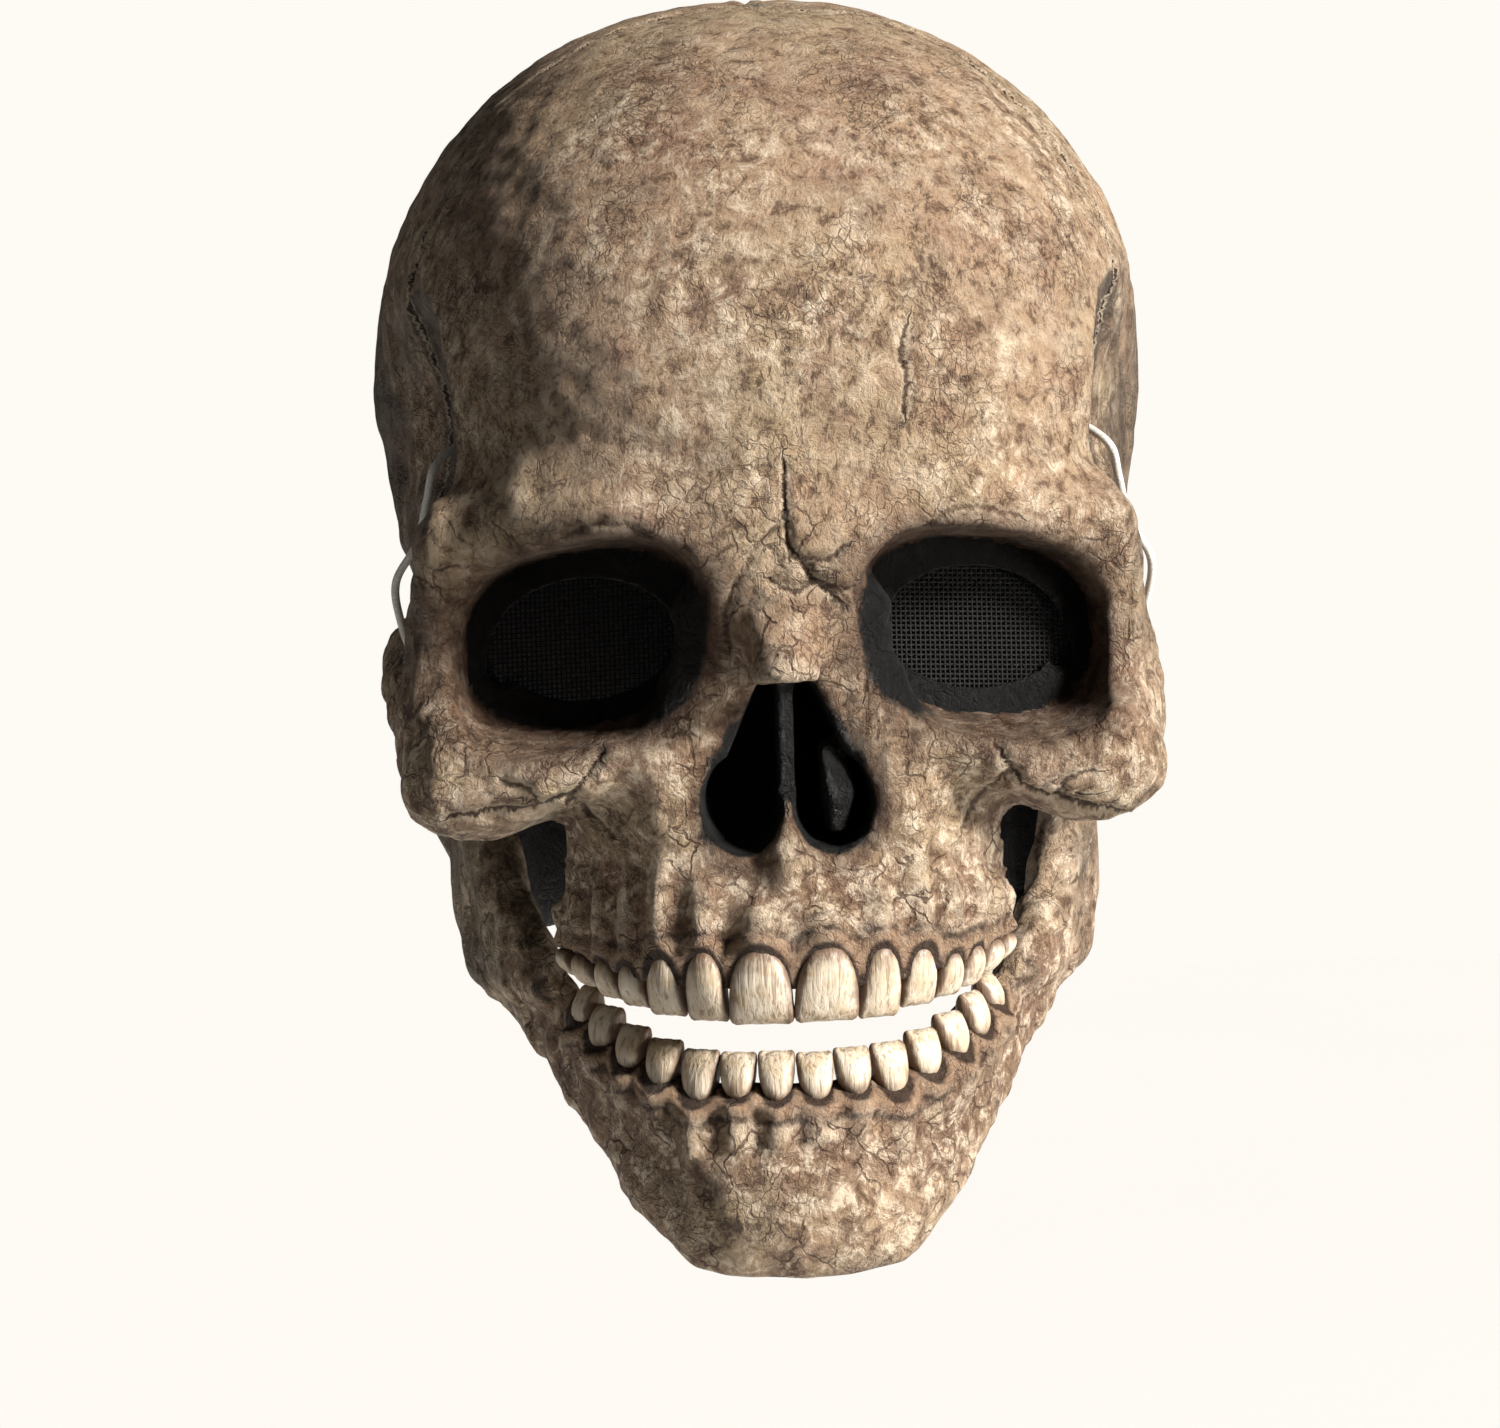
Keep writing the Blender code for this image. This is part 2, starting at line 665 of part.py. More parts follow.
# The jaw's body, from the chin back to its angle. Columns: where the outer face runs, as
# shares of the half width and of the face's reach; how far down its top is, as a share of
# the skull's height, and its lower border, as a share of the chin's drop; and how thick the
# bone is, as a share of the half width.
JAW_STATIONS = (
    # across, fore, top, bottom, depth
    (0.000, 0.925, 1.090, 0.9952, 0.19),
    (0.210, 0.915, 1.088, 0.9952, 0.19),
    (0.370, 0.850, 1.075, 0.9889, 0.17),
    (0.510, 0.735, 1.045, 0.9526, 0.15),
    (0.650, 0.570, 1.005, 0.8951, 0.13),
    (0.800, 0.370, 0.955, 0.8399, 0.11),
    (0.930, 0.190, 0.910, 0.7965, 0.10),
    (0.995, 0.060, 0.880, 0.7570, 0.10),
)

# The upright branch: lines down its front and its rear edge, as above.
RAMUS_FRONT = (
    # across, fore, down
    (0.985, 0.240, 0.800),
    (0.960, 0.265, 0.850),
    (0.890, 0.345, 0.925),
    (0.800, 0.455, 0.990),
)
RAMUS_REAR = (
    # across, fore, down
    (1.000, 0.020, 0.800),
    (1.000, 0.030, 0.860),
    (0.995, 0.075, 0.930),
    (0.960, 0.180, 0.985),
)


def jaw_place(across, fore, down):
    return np.array((across * JAW_HALF, -fore * FACE_REACH, -down * SKULL_HEIGHT))


def jaw_track(clay):
    """For each spot seen from above: how far outside the jaw's outer face it is, and the
    station columns that are nearest to it."""
    rows = np.array(JAW_STATIONS)
    fine = np.linspace(0, len(rows) - 1, 300)
    columns = [np.interp(fine, np.arange(len(rows)), rows[:, i]) for i in range(5)]
    kernel = np.ones(31) / 31
    columns = [np.convolve(np.pad(c, 15, mode="edge"), kernel, mode="valid") for c in columns]
    line = np.stack((columns[0] * JAW_HALF, -columns[1] * FACE_REACH), axis=1)
    x = np.abs(clay.x[:, 0, 0])[:, None, None]
    y = clay.y[0, :, 0][None, :, None]
    away = np.hypot(x - line[:, 0], y - line[:, 1])
    nearest = away.argmin(axis=2)
    run = np.gradient(line, axis=0)
    run = run / np.linalg.norm(run, axis=1)[:, None]
    side = (x[..., 0] - line[nearest, 0]) * run[nearest, 1] * -1
    side = side + (y[..., 0] - line[nearest, 1]) * run[nearest, 0]
    signed = np.where(side < 0, 1, -1) * away.min(axis=2)
    found = [column[nearest][:, :, None] for column in columns]
    return signed[:, :, None], found


def jaw_clay(step):
    """The jaw casting without its teeth: a trough that is open on the inner side."""
    half = np.ceil(1.10 * JAW_HALF / step) * step
    low = (-half, -1.08 * FACE_REACH, -1.04 * CHIN_DROP)
    high = (half, 0.16 * BACK_REACH, -0.74 * SKULL_HEIGHT)
    clay = Clay(low, high, step)
    outside, (_, _, top, bottom, depth) = jaw_track(clay)
    deep = depth * JAW_HALF / 2
    upper, lower = -top * SKULL_HEIGHT, -bottom * CHIN_DROP
    middle = (upper + lower) / 2
    tall = (upper - lower) / 2
    u = np.abs(outside + deep) / deep
    v = np.abs(clay.z - middle) / tall
    body = (u**2.4 + v**2.4) ** (1 / 2.4) - 1
    body = body / steepness(body, step)
    clay.distance[:] = np.maximum(body, clay.y + JAW_STATIONS[-1][1] * FACE_REACH)
    thick = RAMUS_THICKNESS / 2
    front = [jaw_place(*point) - np.array((thick, 0, 0)) for point in RAMUS_FRONT]
    rear = [jaw_place(*point) - np.array((thick, 0, 0)) for point in RAMUS_REAR]
    radii = ([thick] * 4, [thick] * 4)
    for plate in sheet_between(front, rear, radii, 9):
        clay.add(plate, JAW_ROUNDING / 2)
    spots = list(lower_row())
    thick = JAW_GUM_THICKNESS / 2
    sunk = thick - JAW_GUM_COVER
    crest = [(*(s["centre"] - 0.15 * thick * s["outward"]), s["gum"] - sunk) for s in spots]
    crest.insert(0, (0, crest[0][1] - 0.15 * thick, crest[0][2]))
    clay.add(rope(crest, [thick] * len(crest)), JAW_ROUNDING)
    chin = np.array((0.0, -0.865 * FACE_REACH, -0.934 * CHIN_DROP))
    swell = (0.22 * JAW_HALF, 0.13 * JAW_HALF, 0.17 * JAW_HALF)
    clay.add(ellipsoid(chin, swell), JAW_ROUNDING)
    for spot in spots:
        clay.add(root_ridge(spot, 0.0), ROOT_ROUNDING)
    inside = hollow(clay, JAW_SOFTNESS)
    open_side = -outside - np.maximum(2 * deep - WALL / 2, RAMUS_THICKNESS / 2)
    clay.distance[:] = soft_max(clay.distance, -inside, 0)
    clay.distance[:] = np.maximum(clay.distance, open_side)
    return clay, inside


def largest_piece(points, quads):
    """Drops closed bubbles: keeps the largest connected surface."""
    label = np.arange(len(points))
    ends = np.concatenate([quads[:, [i, (i + 1) % 4]] for i in range(4)])
    while True:
        low = np.minimum(label[ends[:, 0]], label[ends[:, 1]])
        before = label.copy()
        np.minimum.at(label, ends[:, 0], low)
        np.minimum.at(label, ends[:, 1], low)
        label = label[label]
        if (label == before).all():
            break
    found, count = np.unique(label, return_counts=True)
    kept = label == found[count.argmax()]
    number = np.cumsum(kept) - 1
    quads = quads[kept[quads[:, 0]]]
    return points[kept], number[quads]


def mesh_from_clay(name, clay, inside, faces):
    """Takes the surface out of the clay and thins it to about that many triangles, most of
    them where inside, the distance to the hollow, says that the outer face is."""
    grid = openvdb.FloatGrid(FAR)
    grid.copyFromArray(np.ascontiguousarray(clay.distance, dtype=np.float32))
    points, _, quads = grid.convertToPolygons(isovalue=0.0, adaptivity=0.0)
    points, quads = largest_piece(points, quads[:, ::-1])
    points = points.astype(float) * clay.step + clay.low
    mesh = bpy.data.meshes.new(name)
    mesh.from_pydata(points.tolist(), [], quads.tolist())
    mesh.update()
    part = bpy.data.objects.new(name, mesh)
    bpy.context.scene.collection.objects.link(part)
    at = tuple(np.round((points - clay.low) / clay.step).astype(int).T)
    hidden = np.flatnonzero(np.abs(inside[at]) < 1.2 * clay.step)
    group = part.vertex_groups.new(name="thinned")
    group.add(list(range(len(points))), 0.5, "REPLACE")
    group.add(hidden.tolist(), 1.0, "REPLACE")
    thin = part.modifiers.new("Decimate", "DECIMATE")
    thin.vertex_group = "thinned"
    thin.vertex_group_factor = OUTER_CARE
    thin.ratio = min(1.0, faces / (2 * len(quads)))
    return part


def mesh_object(name, points, faces):
    mesh = bpy.data.meshes.new(name)
    mesh.from_pydata([tuple(map(float, p)) for p in points], [], faces)
    mesh.update()
    made = bpy.data.objects.new(name, mesh)
    bpy.context.scene.collection.objects.link(made)
    return made


def crowns_helper(name, row):
    """All crowns of a row, on both sides, as one helper object."""
    points, faces = [], []
    for spot in row:
        made, polygons = crown_mesh(spot, CROWN_SIDES, CROWN_SECTIONS)
        hangs = spot["gum"] > spot["edge"]
        for side in (1, -1):
            first = len(points)
            points += [(side * x, y, z) for x, y, z in made]
            turn = (side == 1) == hangs
            for face in polygons:
                face = tuple(first + i for i in face)
                faces.append(face if turn else face[::-1])
    helper = mesh_object(name, points, faces)
    helper.hide_render = True
    helper.display_type = "WIRE"
    return helper


def join_crowns(part, helper):
    fuse = part.modifiers.new("Teeth", "BOOLEAN")
    fuse.operation = "UNION"
    fuse.solver = "EXACT"
    fuse.object = helper


def gauze_patch(name, side):
    """A flat oval of gauze behind an eye hole, a glue line away from the casting."""
    half_x = EYE_HOLE_WIDTH / 2 + GAUZE_OVERLAP
    half_z = EYE_HOLE_HEIGHT / 2 + GAUZE_OVERLAP
    sides = 36
    points, faces = [], []
    for behind in (WALL + GLUE_GAP, WALL + GLUE_GAP + GAUZE_THICKNESS):
        for index in range(sides):
            turn = 2 * np.pi * index / sides
            x = EYE_HOLE_SPACING / 2 + half_x * np.cos(turn)
            z = half_z * np.sin(turn) - EYE_HOLE_SLANT * half_x * np.cos(turn)
            y = socket_floor(x) + behind
            points.append((side * x, y, z - SOCKET_DOWN * SKULL_HEIGHT))
    for index in range(sides):
        after = (index + 1) % sides
        faces.append((index, after, after + sides, index + sides))
    faces.append(tuple(reversed(range(sides))))
    faces.append(tuple(range(sides, 2 * sides)))
    if side > 0:
        faces = [face[::-1] for face in faces]
    return mesh_object(name, points, faces)


# The way of an elastic cord, from its knot inside the temple to its knot inside the jaw's
# branch. Columns: shares of the skull's half width, the face's reach and the skull's
# height, and the casting whose wall the cord goes through there.
CORD_WAY = (
    # across, fore, down, wall
    (0.690, 0.560, 0.412, None),
    (0.760, 0.590, 0.424, "skull"),
    (0.828, 0.626, 0.446, None),
    (0.850, 0.600, 0.478, None),
    (0.880, 0.545, 0.525, None),
    (0.938, 0.495, 0.567, None),
    (0.930, 0.445, 0.612, None),
    (0.892, 0.400, 0.668, "skull"),
    (0.882, 0.345, 0.715, None),
    (0.890, 0.250, 0.770, None),
    (0.880, 0.160, 0.822, None),
    (0.825, 0.125, 0.842, "jaw"),
    (0.755, 0.083, 0.866, None),
)
CORD_SIDES = 6


def cord_line(steps):
    """The cord's middle line as a smooth curve through its way, one point every 1 / steps
    of the way from one listed point to the next."""
    way = np.array([place(*row[:3]) for row in CORD_WAY])
    way = np.vstack((2 * way[0] - way[1], way, 2 * way[-1] - way[-2]))
    line = []
    for i in range(1, len(way) - 2):
        a, b, c, d = way[i - 1 : i + 3]
        slope, curve, twist = c - a, 2 * a - 5 * b + 4 * c - d, 3 * b - a - 3 * c + d
        for t in np.arange(steps) / steps:
            line.append(0.5 * (2 * b + slope * t + curve * t**2 + twist * t**3))
    line.append(way[-2])
    return np.array(line)


def tube(line, radii, sides):
    """Points and faces of a round bar with closed ends along a line."""
    line = np.array(line)
    run = np.gradient(line, axis=0)
    across = np.array((0.0, 1.0, 0.0))
    points, faces = [], []
    for at, direction, radius in zip(line, run, radii):
        direction = direction / np.linalg.norm(direction)
        across = across - (across @ direction) * direction
        across = across / np.linalg.norm(across)
        other = np.cross(direction, across)
        for index in range(sides):
            turn = 2 * np.pi * index / sides
            points.append(at + radius * (np.cos(turn) * across + np.sin(turn) * other))
    for ring in range(len(line) - 1):
        for index in range(sides):
            after = (index + 1) % sides
            a, b = ring * sides + index, ring * sides + after
            faces.append((a, b, b + sides, a + sides))
    faces.append(tuple(reversed(range(sides))))
    faces.append(tuple(range(len(points) - sides, len(points))))
    return points, faces


def mirrored(points, faces, side):
    if side > 0:
        return points, faces
    return [(-p[0], p[1], p[2]) for p in points], [face[::-1] for face in faces]


KNOT_PROFILE = (
    # along, radius
    (-0.90, 0.40),
    (-0.50, 0.85),
    (0.00, 1.00),
    (0.50, 0.85),
    (0.86, 0.50),
)


def cord(name, side):
    """An elastic cord with a knot at each end."""
    line = cord_line(2)
    knot = KNOT_DIAMETER / 2
    first = (line[0] - line[1]) / np.linalg.norm(line[0] - line[1])
    last = (line[-1] - line[-2]) / np.linalg.norm(line[-1] - line[-2])
    start = [line[0] - along * knot * first for along, _ in KNOT_PROFILE]
    end = [line[-1] - along * knot * last for along, _ in reversed(KNOT_PROFILE)]
    swell = [radius * knot for _, radius in KNOT_PROFILE]
    whole = np.vstack((start, line[1:-1], end))
    radii = swell + [CORD_DIAMETER / 2] * (len(line) - 2) + swell[::-1]
    return mesh_object(name, *mirrored(*tube(whole, radii, CORD_SIDES), side))


def hole_cutter(name, wall):
    """Straight cutters for the cord's holes in a casting, on both sides, as one helper."""
    way = np.array([place(*row[:3]) for row in CORD_WAY])
    points, faces = [], []
    for row in (row for row, spot in enumerate(CORD_WAY) if spot[3] == wall):
        run = way[row + 1] - way[row - 1]
        run = run / np.linalg.norm(run)
        ends = (way[row] - 2.2 * WALL * run, way[row], way[row] + 2.2 * WALL * run)
        made, polygons = tube(ends, [CORD_HOLE / 2] * 3, 10)
        for side in (1, -1):
            first = len(points)
            turned, flipped = mirrored(made, polygons, side)
            points += [tuple(p) for p in turned]
            faces += [tuple(first + i for i in face) for face in flipped]
    helper = mesh_object(name, points, faces)
    helper.hide_render = True
    helper.display_type = "WIRE"
    return helper


def drill(part, helper):
    cut = part.modifiers.new("Cord holes", "BOOLEAN")
    cut.operation = "DIFFERENCE"
    cut.solver = "EXACT"
    cut.object = helper


def finish(part, name, colour, roughness):
    """A plain material of the part's real colour."""
    material = bpy.data.materials.new(name)
    material.use_nodes = True
    shader = material.node_tree.nodes["Principled BSDF"]
    shader.inputs["Base Color"].default_value = (*colour, 1)
    shader.inputs["Roughness"].default_value = roughness
    part.data.materials.append(material)


def main():
    for old in list(bpy.data.objects):
        bpy.data.objects.remove(old)
    skull = mesh_from_clay("skull_shell", *skull_clay(GRID_STEP), SKULL_FACES)
    join_crowns(skull, crowns_helper("upper_crowns", upper_row()))
    drill(skull, hole_cutter("skull_cord_holes", "skull"))
    finish(skull, "bone_latex", (0.45, 0.32, 0.22), 0.6)
    jaw = mesh_from_clay("jaw_shell", *jaw_clay(GRID_STEP), JAW_FACES)
    join_crowns(jaw, crowns_helper("lower_crowns", lower_row()))
    drill(jaw, hole_cutter("jaw_cord_holes", "jaw"))
    finish(jaw, "jaw_latex", (0.45, 0.32, 0.22), 0.6)
    for name, side in (("left", 1), ("right", -1)):
        finish(gauze_patch("eye_mesh_" + name, side), "gauze_" + name, (0.01, 0.01, 0.01), 0.9)
        finish(cord("jaw_cord_" + name, side), "elastic_" + name, (0.8, 0.8, 0.78), 0.7)


main()
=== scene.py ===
# %% [markdown]
# # A full-head skull mask
#
# The real object is a hollow skull, cast in latex about 3 mm thick and painted as weathered
# bone, with a separate lower jaw that hangs on two elastic cords. Black gauze is glued
# behind the eye holes. The castings could be sculpted by hand, but a sculpture is hard to
# write down. Here they are built as clay: distances on a grid, to which forms are added and
# from which others are carved, one named form after the other. That keeps every size in one
# place, and the walls get their thickness for nothing.

# %% Load the solids that this file dresses
import time

import bpy
import numpy as np
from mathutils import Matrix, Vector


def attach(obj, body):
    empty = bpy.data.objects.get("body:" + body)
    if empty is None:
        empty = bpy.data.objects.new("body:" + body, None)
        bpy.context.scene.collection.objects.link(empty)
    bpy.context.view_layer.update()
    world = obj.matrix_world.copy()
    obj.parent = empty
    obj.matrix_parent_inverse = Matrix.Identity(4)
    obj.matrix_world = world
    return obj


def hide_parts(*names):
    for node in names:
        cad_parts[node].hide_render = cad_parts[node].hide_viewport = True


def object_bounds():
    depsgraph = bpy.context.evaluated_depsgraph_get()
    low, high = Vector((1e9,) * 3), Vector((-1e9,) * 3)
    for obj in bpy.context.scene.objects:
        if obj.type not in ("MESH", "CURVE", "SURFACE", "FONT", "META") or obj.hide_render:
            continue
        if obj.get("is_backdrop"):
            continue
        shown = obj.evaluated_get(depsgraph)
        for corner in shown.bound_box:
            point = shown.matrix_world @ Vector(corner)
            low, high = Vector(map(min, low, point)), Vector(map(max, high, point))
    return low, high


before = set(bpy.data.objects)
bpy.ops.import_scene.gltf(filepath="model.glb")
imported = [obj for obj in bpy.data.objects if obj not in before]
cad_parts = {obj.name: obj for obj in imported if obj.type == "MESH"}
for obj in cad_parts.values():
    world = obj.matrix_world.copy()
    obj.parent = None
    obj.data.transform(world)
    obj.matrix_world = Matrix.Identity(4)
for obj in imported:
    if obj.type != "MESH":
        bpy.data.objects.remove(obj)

import openvdb
from mathutils import Matrix, Quaternion, Vector

started = time.time()
cad_low, cad_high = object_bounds()
print("solids from", [round(v, 4) for v in cad_low], "to", [round(v, 4) for v in cad_high])

# %% [markdown]
# ## Camera
#
# The camera comes first. It stands 1.5 m
# away, a little above the mask and a little to its right, with a long lens, and it is
# rolled slightly, because the mask's crown leans to the left in the picture.

# %% Camera
CAMERA_DISTANCE = 1.5
CAMERA_LIFT = np.radians(6.0)
CAMERA_TURN = np.radians(-2.0)
CAMERA_ROLL = np.radians(-1.7)
LOOKED_AT = Vector((0.0, 0.0, -0.174))
VIEW_WIDTH = 0.375
SENSOR = 36.0
SHIFT = -20 / 1500
NEAREST_SEEN = 0.05
FURTHEST_SEEN = 50


def make_camera():
    data = bpy.data.cameras.new("camera")
    camera = bpy.data.objects.new("camera", data)
    bpy.context.scene.collection.objects.link(camera)
    level = np.cos(CAMERA_LIFT)
    back = Vector((np.sin(CAMERA_TURN) * level, -np.cos(CAMERA_TURN) * level, np.sin(CAMERA_LIFT)))
    camera.location = LOOKED_AT + CAMERA_DISTANCE * back
    camera.rotation_mode = "QUATERNION"
    straight = (-back).to_track_quat("-Z", "Y")
    camera.rotation_quaternion = straight @ Quaternion((0, 0, 1), CAMERA_ROLL)
    data.sensor_width = SENSOR
    data.lens = SENSOR * CAMERA_DISTANCE / VIEW_WIDTH
    data.shift_x = SHIFT
    data.clip_start = NEAREST_SEEN
    data.clip_end = FURTHEST_SEEN
    bpy.context.scene.camera = camera
    return camera


print("lens", make_camera().data.lens, "mm")

# %% [markdown]
# ## Sizes
#
# These are the sizes that the castings' solids have, under the same names. Places on the
# skull are shares of three lengths: the half width, the reach of the face in front of the
# middle, and the height from the crown to the edge of the upper teeth.

# %% Sizes
MM = 0.001
SKULL_WIDTH = 193 * MM
FACE_REACH = 118 * MM
BACK_REACH = 126 * MM
TOOTH_DROP = 235 * MM
NAPE_DROP = 232 * MM
CHEEK_RIM_DROP = 169 * MM
WALL = 3 * MM
SOCKET_WIDTH = 65 * MM
SOCKET_HEIGHT = 51 * MM
SOCKET_SPACING = 0.508 * SKULL_WIDTH
SOCKET_DEPTH = 27 * MM
EYE_HOLE_WIDTH = 43 * MM
EYE_HOLE_HEIGHT = 29 * MM
EYE_HOLE_SPACING = 0.477 * SKULL_WIDTH
EYE_HOLE_SLANT = 0.06
NOSE_WIDTH = 43 * MM
NOSE_HEIGHT = 39 * MM
NOSE_DEPTH = 30 * MM
SEPTUM = 4 * MM
HALF_WIDTH = SKULL_WIDTH / 2
SKULL_HEIGHT = TOOTH_DROP
FAR = 60 * MM


def place(across, fore, down):
    """A point from shares of the half width, the face's reach and the skull's height."""
    return np.array((across * HALF_WIDTH, -fore * FACE_REACH, -down * SKULL_HEIGHT))


print("the skull is", SKULL_WIDTH, "m wide; the brow's middle is near", place(0, 0.9, 0.5))

# %% [markdown]
# ## Clay
#
# A block of clay is a box of grid points, each of which knows how far away the surface is,
# negative inside. Adding a form takes the smaller of two distances, and carving one takes
# the larger of the first and the second's opposite. A soft minimum fills the crease between
# two forms, as a sculptor's thumb would. Forms read |x|, so both sides come at once.

# %% Soft minimum and the clay
CLAY_STEP = 1.3 * MM


def soft_min(a, b, blend):
    """The smaller of two distances, with the crease between them filled over blend."""
    if blend <= 0:
        return np.minimum(a, b)
    share = np.clip(0.5 + 0.5 * (b - a) / blend, 0, 1)
    return b + (a - b) * share - blend * share * (1 - share)


def soft_max(a, b, blend):
    return -soft_min(-a, -b, blend)


def weighed(field, low, share):
    """A field inside its cells: each cell's eight corners, weighed by how near they are."""
    found = np.zeros(len(low))
    for corner in range(8):
        d = np.array((corner & 1, corner >> 1 & 1, corner >> 2 & 1))
        weight = np.where(d, share, 1 - share).prod(axis=1)
        i, j, k = (low + d).T
        found += weight * field[i, j, k]
    return found


class Clay:
    """A block of space whose grid points know their distance from the surface."""

    def __init__(self, low, high, step):
        self.low = np.array(low, float)
        self.step = step
        count = np.ceil((np.array(high) - self.low) / step).astype(int) + 1
        axes = [self.low[i] + step * np.arange(count[i]) for i in range(3)]
        self.x, self.y, self.z = np.meshgrid(*axes, indexing="ij", sparse=True)
        self.distance = np.full(count, FAR, dtype=np.float32)

    def window(self, low, high):
        """The slices of the grid that a box and its mirror image cover."""
        reach = max(abs(low[0]), abs(high[0]))
        first = np.floor((np.array((-reach, *low[1:])) - self.low) / self.step).astype(int)
        last = np.ceil((np.array((reach, *high[1:])) - self.low) / self.step).astype(int) + 1
        return tuple(slice(a, max(a, b)) for a, b in zip(np.maximum(first, 0), last))

    def sample(self, form, blend, both=True):
        (low, high), measure = form
        margin = blend + 2 * WALL + 2 * self.step
        at = self.window(low - margin, high + margin)
        x, y, z = self.x[at[0]], self.y[:, at[1]], self.z[:, :, at[2]]
        return at, measure(np.abs(x) if both else x, y, z)

    def add(self, form, blend=0.0, both=True):
        at, found = self.sample(form, blend, both)
        self.distance[at] = soft_min(self.distance[at], found, blend)

    def carve(self, form, blend=0.0):
        at, found = self.sample(form, blend)
        self.distance[at] = -soft_min(-self.distance[at], found, blend)

    def at(self, points, field):
        """A field's value at points, between its grid points."""
        spot = (points - self.low) / self.step
        low = np.clip(np.floor(spot).astype(int), 0, np.array(field.shape) - 2)
        return weighed(field, low, np.clip(spot - low, 0, 1))


print("clay step", CLAY_STEP * 1000, "mm")

# %% Forms: an ellipsoid and a rope, and both again in shares of the skull
def ellipsoid(centre, radii, lean=None):
    """An ellipsoid. lean is a rotation matrix that turns it about its centre."""
    centre, radii = np.array(centre), np.array(radii)
    turn = np.eye(3) if lean is None else lean
    span = np.abs(turn) @ radii

    def measure(x, y, z):
        p = (x - centre[0], y - centre[1], z - centre[2])
        q = [sum(turn[j, i] * p[j] for j in range(3)) / radii[i] for i in range(3)]
        near = np.sqrt(q[0] ** 2 + q[1] ** 2 + q[2] ** 2) + 1e-6
        slope = sum((q[i] / radii[i]) ** 2 for i in range(3))
        return near * (near - 1) / (np.sqrt(slope) + 1e-6)

    return (centre - span, centre + span), measure


def rope(points, radii):
    """A round bar through the points, whose radius changes from each point to the next."""
    points = [np.array(p, float) for p in points]
    most = max(radii)

    def measure(x, y, z):
        found = np.inf
        for a, b, ra, rb in zip(points, points[1:], radii, radii[1:]):
            run = b - a
            t = ((x - a[0]) * run[0] + (y - a[1]) * run[1] + (z - a[2]) * run[2]) / (run @ run)
            t = np.clip(t, 0, 1)
            away = np.sqrt(
                (x - a[0] - t * run[0]) ** 2
                + (y - a[1] - t * run[1]) ** 2
                + (z - a[2] - t * run[2]) ** 2
            )
            found = np.minimum(found, away - (ra + t * (rb - ra)))
        return found

    return (np.min(points, axis=0) - most, np.max(points, axis=0) + most), measure


def unit(vector):
    return vector / np.linalg.norm(vector)


def bar(*rows):
    """A rope through places. Each row also has the radius there, a share of the half width."""
    return rope([place(*row[:3]) for row in rows], [row[3] * HALF_WIDTH for row in rows])


def ball(spot, radii, lean=None):
    """An ellipsoid at a place, whose radii are shares of the half width."""
    return ellipsoid(place(*spot), [share * HALF_WIDTH for share in radii], lean)


def tilt(degrees, axis):
    return np.array(Matrix.Rotation(np.radians(degrees), 3, axis))


def by_height(z, rows, column, size):
    """A column of a section table at height z, smoothed between its rows."""
    down = np.array([row[0] for row in rows]) * SKULL_HEIGHT
    values = np.array([row[column] for row in rows]) * size
    fine = np.linspace(down[0], down[-1], 200)
    stepped = np.interp(fine, down, values)
    soft = np.convolve(np.pad(stepped, 12, mode="edge"), np.ones(25) / 25, mode="valid")
    return np.interp(-z, fine, soft)


def steepness(field, step):
    """How fast the field rises, so that dividing by it makes distances of it."""
    rise = np.gradient(field, step)
    return np.sqrt(rise[0] ** 2 + rise[1] ** 2 + rise[2] ** 2) + 1e-6


print("a ball of 10 mm, 15 mm away:", ellipsoid((0, 0, 0), [0.01] * 3)[1](0.025, 0.0, 0.0))

# %% [markdown]
# ## Braincase and face
#
# The braincase is a stack of squared ovals under a rounded dome, and the middle of the face
# is a second, narrower stack in front of it. Two short tables hold the sections, which were
# read from the picture at its scale.

# %% Braincase
VAULT_SECTIONS = (
    # down, half_width, front, back
    (0.40, 1.000, 0.985, 1.00),
    (0.53, 0.945, 0.950, 0.985),
    (0.66, 0.850, 0.840, 0.89),
    (0.79, 0.760, 0.740, 0.76),
    (0.92, 0.690, 0.700, 0.665),
    (1.05, 0.660, 0.700, 0.62),
)
VAULT_CENTRE = 0.10
VAULT_SQUARE = 2.30
DOME_SQUARE = 2.15


def vault(clay):
    """The braincase, whose sections are squared ovals under a rounded dome."""
    x, y, z = clay.x, clay.y, clay.z
    half = by_height(z, VAULT_SECTIONS, 1, HALF_WIDTH)
    front = by_height(z, VAULT_SECTIONS, 2, FACE_REACH)
    back = by_height(z, VAULT_SECTIONS, 3, BACK_REACH)
    centre = VAULT_CENTRE * BACK_REACH
    along = np.where(y < centre, (centre - y) / (front + centre), (y - centre) / (back - centre))
    oval = (np.abs(x) / half) ** VAULT_SQUARE + along**VAULT_SQUARE
    oval = oval ** (1 / VAULT_SQUARE)
    widest = -VAULT_SECTIONS[0][0] * SKULL_HEIGHT
    rise = np.clip((z - widest) / (WALL - widest), 0, None)
    field = (oval**DOME_SQUARE + rise**DOME_SQUARE) ** (1 / DOME_SQUARE) - 1
    return field / steepness(field, clay.step)


print("the braincase has", len(VAULT_SECTIONS), "sections")

# %% Middle of the face
FACE_SECTIONS = (
    # down, half_width, front
    (0.43, 0.600, 0.780),
    (0.51, 0.740, 0.900),
    (0.58, 0.770, 0.905),
    (0.70, 0.700, 0.850),
    (0.79, 0.625, 0.855),
    (0.86, 0.600, 0.885),
    (0.92, 0.580, 0.910),
    (1.04, 0.555, 0.905),
)
FACE_CENTRE = 0.36
FACE_SQUARE = 2.35


